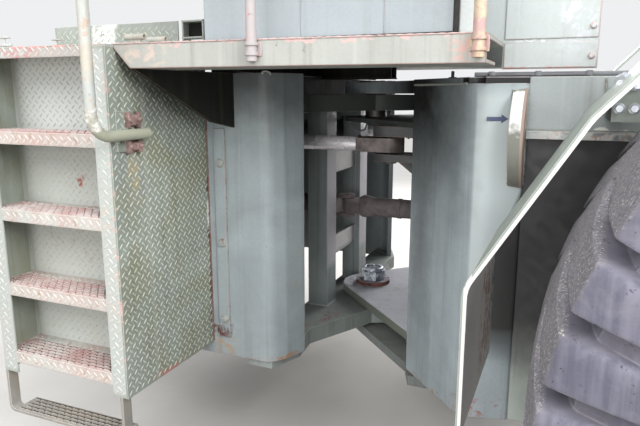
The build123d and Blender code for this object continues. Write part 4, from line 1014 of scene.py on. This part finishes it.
def side_face(x, z, out=0.0):
    """A point on the box's right face, between its front corner and the beam."""
    return (x, -964 + (x - 603) * 43 / 147 - out, z)


arrow = Heap()
shape = [(640, 1391), (640, 1379), (680, 1379), (680, 1372), (699, 1385), (680, 1398), (680, 1391)]
skin(arrow, [[side_face(x, z, out) for x, z in shape] for out in (1.4, -2)])
arrow.make("direction_arrow", FRONT, "frame_paint", "arrow")
plates("rubber_strips", FRONT, "pin_steel", "black", [
    ((572, -566, 1504), (690, -545, 1509), 1.5), ((615, -902, 1504), (752, -870, 1509), 1.5),
    ((752, -902, 1503), (907, -880, 1508), 1.5)])
PIPE_LOW, PIPE_HIGH = 1512.5, 1572
pipe = Heap()
tube(pipe, [(590, -890, PIPE_LOW), (1110, -890, PIPE_LOW), (1180, -890, 1540), (1260, -890, PIPE_HIGH),
            (1460, -890, PIPE_HIGH)], 7, 12, 16, 4)
for x, z in ((640, PIPE_LOW), (770, PIPE_LOW), (905, PIPE_LOW), (1080, PIPE_LOW), (1290, PIPE_HIGH),
             (1440, PIPE_HIGH)):
    plate(pipe, (x - 9, -900, 1500), (x + 9, -880, z + 9), 2)
pipe.make("clamped_pipe", FRONT, "pin_steel", "pipe", 60)

# the beams' length and outer face, and the box columns' depth and inner face
BEAM_X, BEAM_Y, BOX_X, BOX_Y = (752, 1478), 906, (356, 698), 657
rows = []
for side in (-1, 1):
    rows.append(([(x, y * -side, z) for x, y, z in (box_face(0.02, 1486, 1), box_face(0.9, 1486, 1))], 4))
    rows += [([(x, side * BEAM_Y, z) for x in BEAM_X], 3.4) for z in (1329, 1353)]
    rows += [([(x, side * BOX_Y, z) for x in BOX_X], 3.5) for z in (527, 1352, 1328, 483)]
    rows += [([(x, side * y, 1190), (x, side * y, 1468)], 4) for x, y in ((708, 934), (748, 923))]
rows += [([(698, -650, z), (698, 650, z)], 4) for z in (527, 1352)]
welds("front_frame_welds", FRONT, "weld", rows)
rows = []
for side in (-1, 1):
    rows += [([(x, side * y, 440), (x, side * y, 1490)], 4.5) for x, y in ((-1219, 851), (-999, 824), (-1001, 824))]
rows += [([(x, -820, 1533), (x, 820, 1533)], 3) for x in (-381, -264)]
welds("rear_frame_welds", REAR, "weld", rows)


# Fenders: bolts through the sheet into the stays, and the stays' welds
FENDER_THICK = 12.0


def on_fender(number, share, y):
    """A point on the sheet's outer face between two of its corners, and the way out."""
    (x0, z0), (x1, z1) = FENDER[number], FENDER[number + 1]
    long = math.hypot(x1 - x0, z1 - z0)
    way = Vector((-(z1 - z0) / long, 0, (x1 - x0) / long))
    return Vector((x0 + (x1 - x0) * share, y, z0 + (z1 - z0) * share)) + way * FENDER_THICK, way


STAYS = ((980, 1270), (1570, 1070))
fender_bolts = Heap()
for side in (-1, 1):
    for number, share, y in ((2, 0.21, 1240), (2, 0.21, 1180), (2, 0.21, 1060), (3, 0.9, 1058), (3, 0.9, 1032)):
        bolt(fender_bolts, *on_fender(number, share, side * y), 19, 10)
    for middle, y in STAYS:
        for x in (middle - 15, middle + 15):
            for z in (1425, 1475):
                bolt(fender_bolts, (x, side * y, z), Y * side, 17, 9)
fender_bolts.make("fender_bolts", FRONT, "pin_steel", "zinc", 40)
welds("stay_welds", FRONT, "weld", [([(middle + half, side * 908, 1400), (middle + half, side * 908, 1500)], 3.5)
                                    for side in (-1, 1) for middle, _ in STAYS for half in (-31, 31)])

# Front frame: bare side sheets between the box columns and the axle, which close the wheel's room
sheets = Heap()
for side in (-1, 1):
    plate(sheets, (749, side * 913, 432), (1405, side * 921, 1329), 2)
    for z in (470, 900, 1290):
        plate(sheets, (1330, side * 921, z - 22), (1402, side * 929, z + 22), 2)
        for x in (1348, 1384):
            bolt(sheets, (x, side * 929, z), Y * side, 17, 9)
sheets.make("front_side_sheets", FRONT, "frame_paint", "side_sheet", 40)

# Axle: U-bolts over the tube, housing bolts, brake flanges, drive flange, breather
axle_parts, nuts = Heap(), Heap()
for side in (-1, 1):
    way = Y * side
    for y in (side * 975, side * 932):
        tube(axle_parts, [(1568, y, 1076), (1568, y, 742), (1858, y, 742), (1858, y, 1076)], 9, 12, 140, 8)
        for x in (1568, 1858):
            bolt(nuts, (x, y, 1052), Z, 27, 18)
    turned(axle_parts, (AXLE_X, side * 1205, AXLE_Z), way,
           [(0, 128), (0, 176), (6, 182), (30, 182), (36, 170), (58, 170), (58, 128)], 40, closed=True)
    for _, x, z in around(12, 154):
        bolt(nuts, (AXLE_X + x, side * 1205, AXLE_Z + z), -way, 19, 12)
    for _, x, z in around(18, 262, 5):
        bolt(nuts, (AXLE_X + x, side * 330, AXLE_Z + z), way, 19, 12)
    turned(axle_parts, (AXLE_X, side * 330, AXLE_Z), way,
           [(-4, 128), (-4, 205), (40, 175), (120, 140), (150, 133), (150, 128)], 40, closed=True)
turned(axle_parts, (1392, 0, SHAFT_Z), X,
       [(0, 46), (0, 88), (4, 92), (20, 92), (24, 88), (24, 66), (40, 66), (40, 46)], 32, closed=True)
turned(axle_parts, (AXLE_X, 130, 1168), Z, [(0, 12), (12, 12), (14, 18), (28, 18), (31, 14)], 16)
for _, y, z in around(8, 76):
    bolt(nuts, (1392, y, SHAFT_Z + z), -X, 17, 10)
axle_parts.make("axle_fittings", FRONT, "axle_casting", "axle", 40)
nuts.make("axle_bolts", FRONT, "pin_steel", "zinc", 40)

# Wheels: rim lips with a lock ring, wheel nuts on the disc, hub bolts, hub cover, valve
OUTER_LIP = [(236, 322), (262, 322), (268, 330), (270, 345), (266, 352), (258, 352), (255, 346), (254, 334.9),
             (236, 334.9)]
for side_name, side in SIDES.items():
    way = Y * side
    middle = Vector((AXLE_X, side * WHEEL_Y, AXLE_Z))
    lips, wheel_nuts = Heap(), Heap()
    for axis, profile in ((way, OUTER_LIP), (-way, OUTER_LIP), (way, [(226, 322), (240, 322), (240, 314), (236, 310),
                          (230, 310), (226, 314)]), (way, [(90, 316), (97, 321), (83, 321)])):
        turned(lips, middle, axis, profile, 72, closed=True)
    turned(lips, middle, way, [(148, 209), (150, 196), (158, 190), (158, 128), (166, 118), (176, 112), (180, 96),
                               (180, 20)], 48)
    lips.make("rim_lips_" + side_name, "wheel_" + side_name, "wheel_paint", "wheel", 40)
    for count, radius, start, out, flats, height in ((20, 258, 0, 90, 30, 22), (16, 168, 9, 157.5, 22, 14),
                                                     (8, 68, 0, 179.5, 17, 10)):
        for turn, x, z in around(count, radius, start):
            spot = middle + way * out + Vector((x, 0, z))
            bolt(wheel_nuts, spot, way, flats, height, True, turn)
            if count == 20:
                turned(wheel_nuts, spot, way, [(20, 10.5), (34, 10.5), (36, 8.5)], 12)
    tube(wheel_nuts, [middle + way * out + X * reach for reach, out in ((300, 92), (300, 150), (292, 172))],
         6, 12, 12, 4)
    turned(wheel_nuts, middle + way * 170 + X * 292, way, [(0, 7.5), (16, 7.5), (18, 5)], 12)
    wheel_nuts.make("wheel_nuts_" + side_name, "wheel_" + side_name, "pin_steel", "zinc", 40)


# Floor, light and camera

def floor_material():
    """Pale concrete to the eye, darker for the light that bounces off it."""
    s = Shader("floor_concrete")
    seen = s.seen()
    pale = s.mix(s.cloud(3, 5, 0.3, 0.7), (214, 211, 206), (222, 219, 214))
    colour = s.mix(seen, (120, 114, 108), pale)
    return s.finish(colour, 0.9, specular=0.1)


FLOOR = 40  # metres from the middle to its edges
floor_mesh = bpy.data.meshes.new("studio_floor")
floor_mesh.from_pydata([(x * FLOOR, y * FLOOR, P(0, 0, -1).z) for x, y in ((-1, -1), (1, -1), (1, 1), (-1, 1))], [],
                       [(0, 1, 2, 3)])
floor_mesh.materials.append(floor_material())
place_new("studio_floor", floor_mesh)

# The sky gives grey light from below and white from above. Where the camera sees it, it is one plain tone.
world = bpy.data.worlds.new("studio")
bpy.context.scene.world = world
world.use_nodes = True
sky = Graph(world.node_tree)
ramp = sky.add("ShaderNodeValToRGB", {0: sky.split(sky.add("ShaderNodeTexCoord").outputs["Generated"])[2]})
for stop, place, colour in zip(ramp.color_ramp.elements, (0.0, 0.75), ((0.30, 0.30, 0.31, 1), (1.0, 1.01, 1.04, 1))):
    stop.position, stop.color = place, colour
light = sky.add("ShaderNodeBackground", {0: ramp.outputs[0], 1: 1.15})
backdrop = sky.add("ShaderNodeBackground", {0: (0.86, 0.87, 0.88, 1), 1: 1.0})
both_skies = sky.add("ShaderNodeMixShader", {0: sky.seen(), 1: light.outputs[0], 2: backdrop.outputs[0]})
sky.add("ShaderNodeOutputWorld", {0: both_skies.outputs[0]})


def lamp(name, place, target, size, watts):
    """A round lamp. Its size is in metres, its places are in machine millimetres."""
    data = bpy.data.lights.new(name, "AREA")
    data.shape = "DISK"
    data.size = size
    data.energy = watts
    obj = place_new(name, data)
    obj.location = P(*place)
    obj.rotation_euler = (P(*target) - P(*place)).to_track_quat("-Z", "Y").to_euler()


lamp("key", (-1500, -6000, 5200), (-200, -900, 1000), 4.0, 160)
lamp("front", (700, -6800, 1400), (0, -1000, 1000), 3.0, 140)
lamp("side", (5200, -4200, 4200), (600, -900, 900), 4.0, 470)
lamp("back", (1500, 5600, 2700), (0, 0, 900), 4.0, 330)

camera_data = bpy.data.cameras.new("view")
camera_data.lens = 33.47
camera_data.sensor_width = 36
camera = place_new("view", camera_data)
camera.location = P(875, -2759, 1458)
camera.rotation_euler = (math.radians(90 - 11.37), 0, math.radians(22.9))
bpy.context.scene.camera = camera
bpy.context.scene.view_settings.view_transform = "Standard"
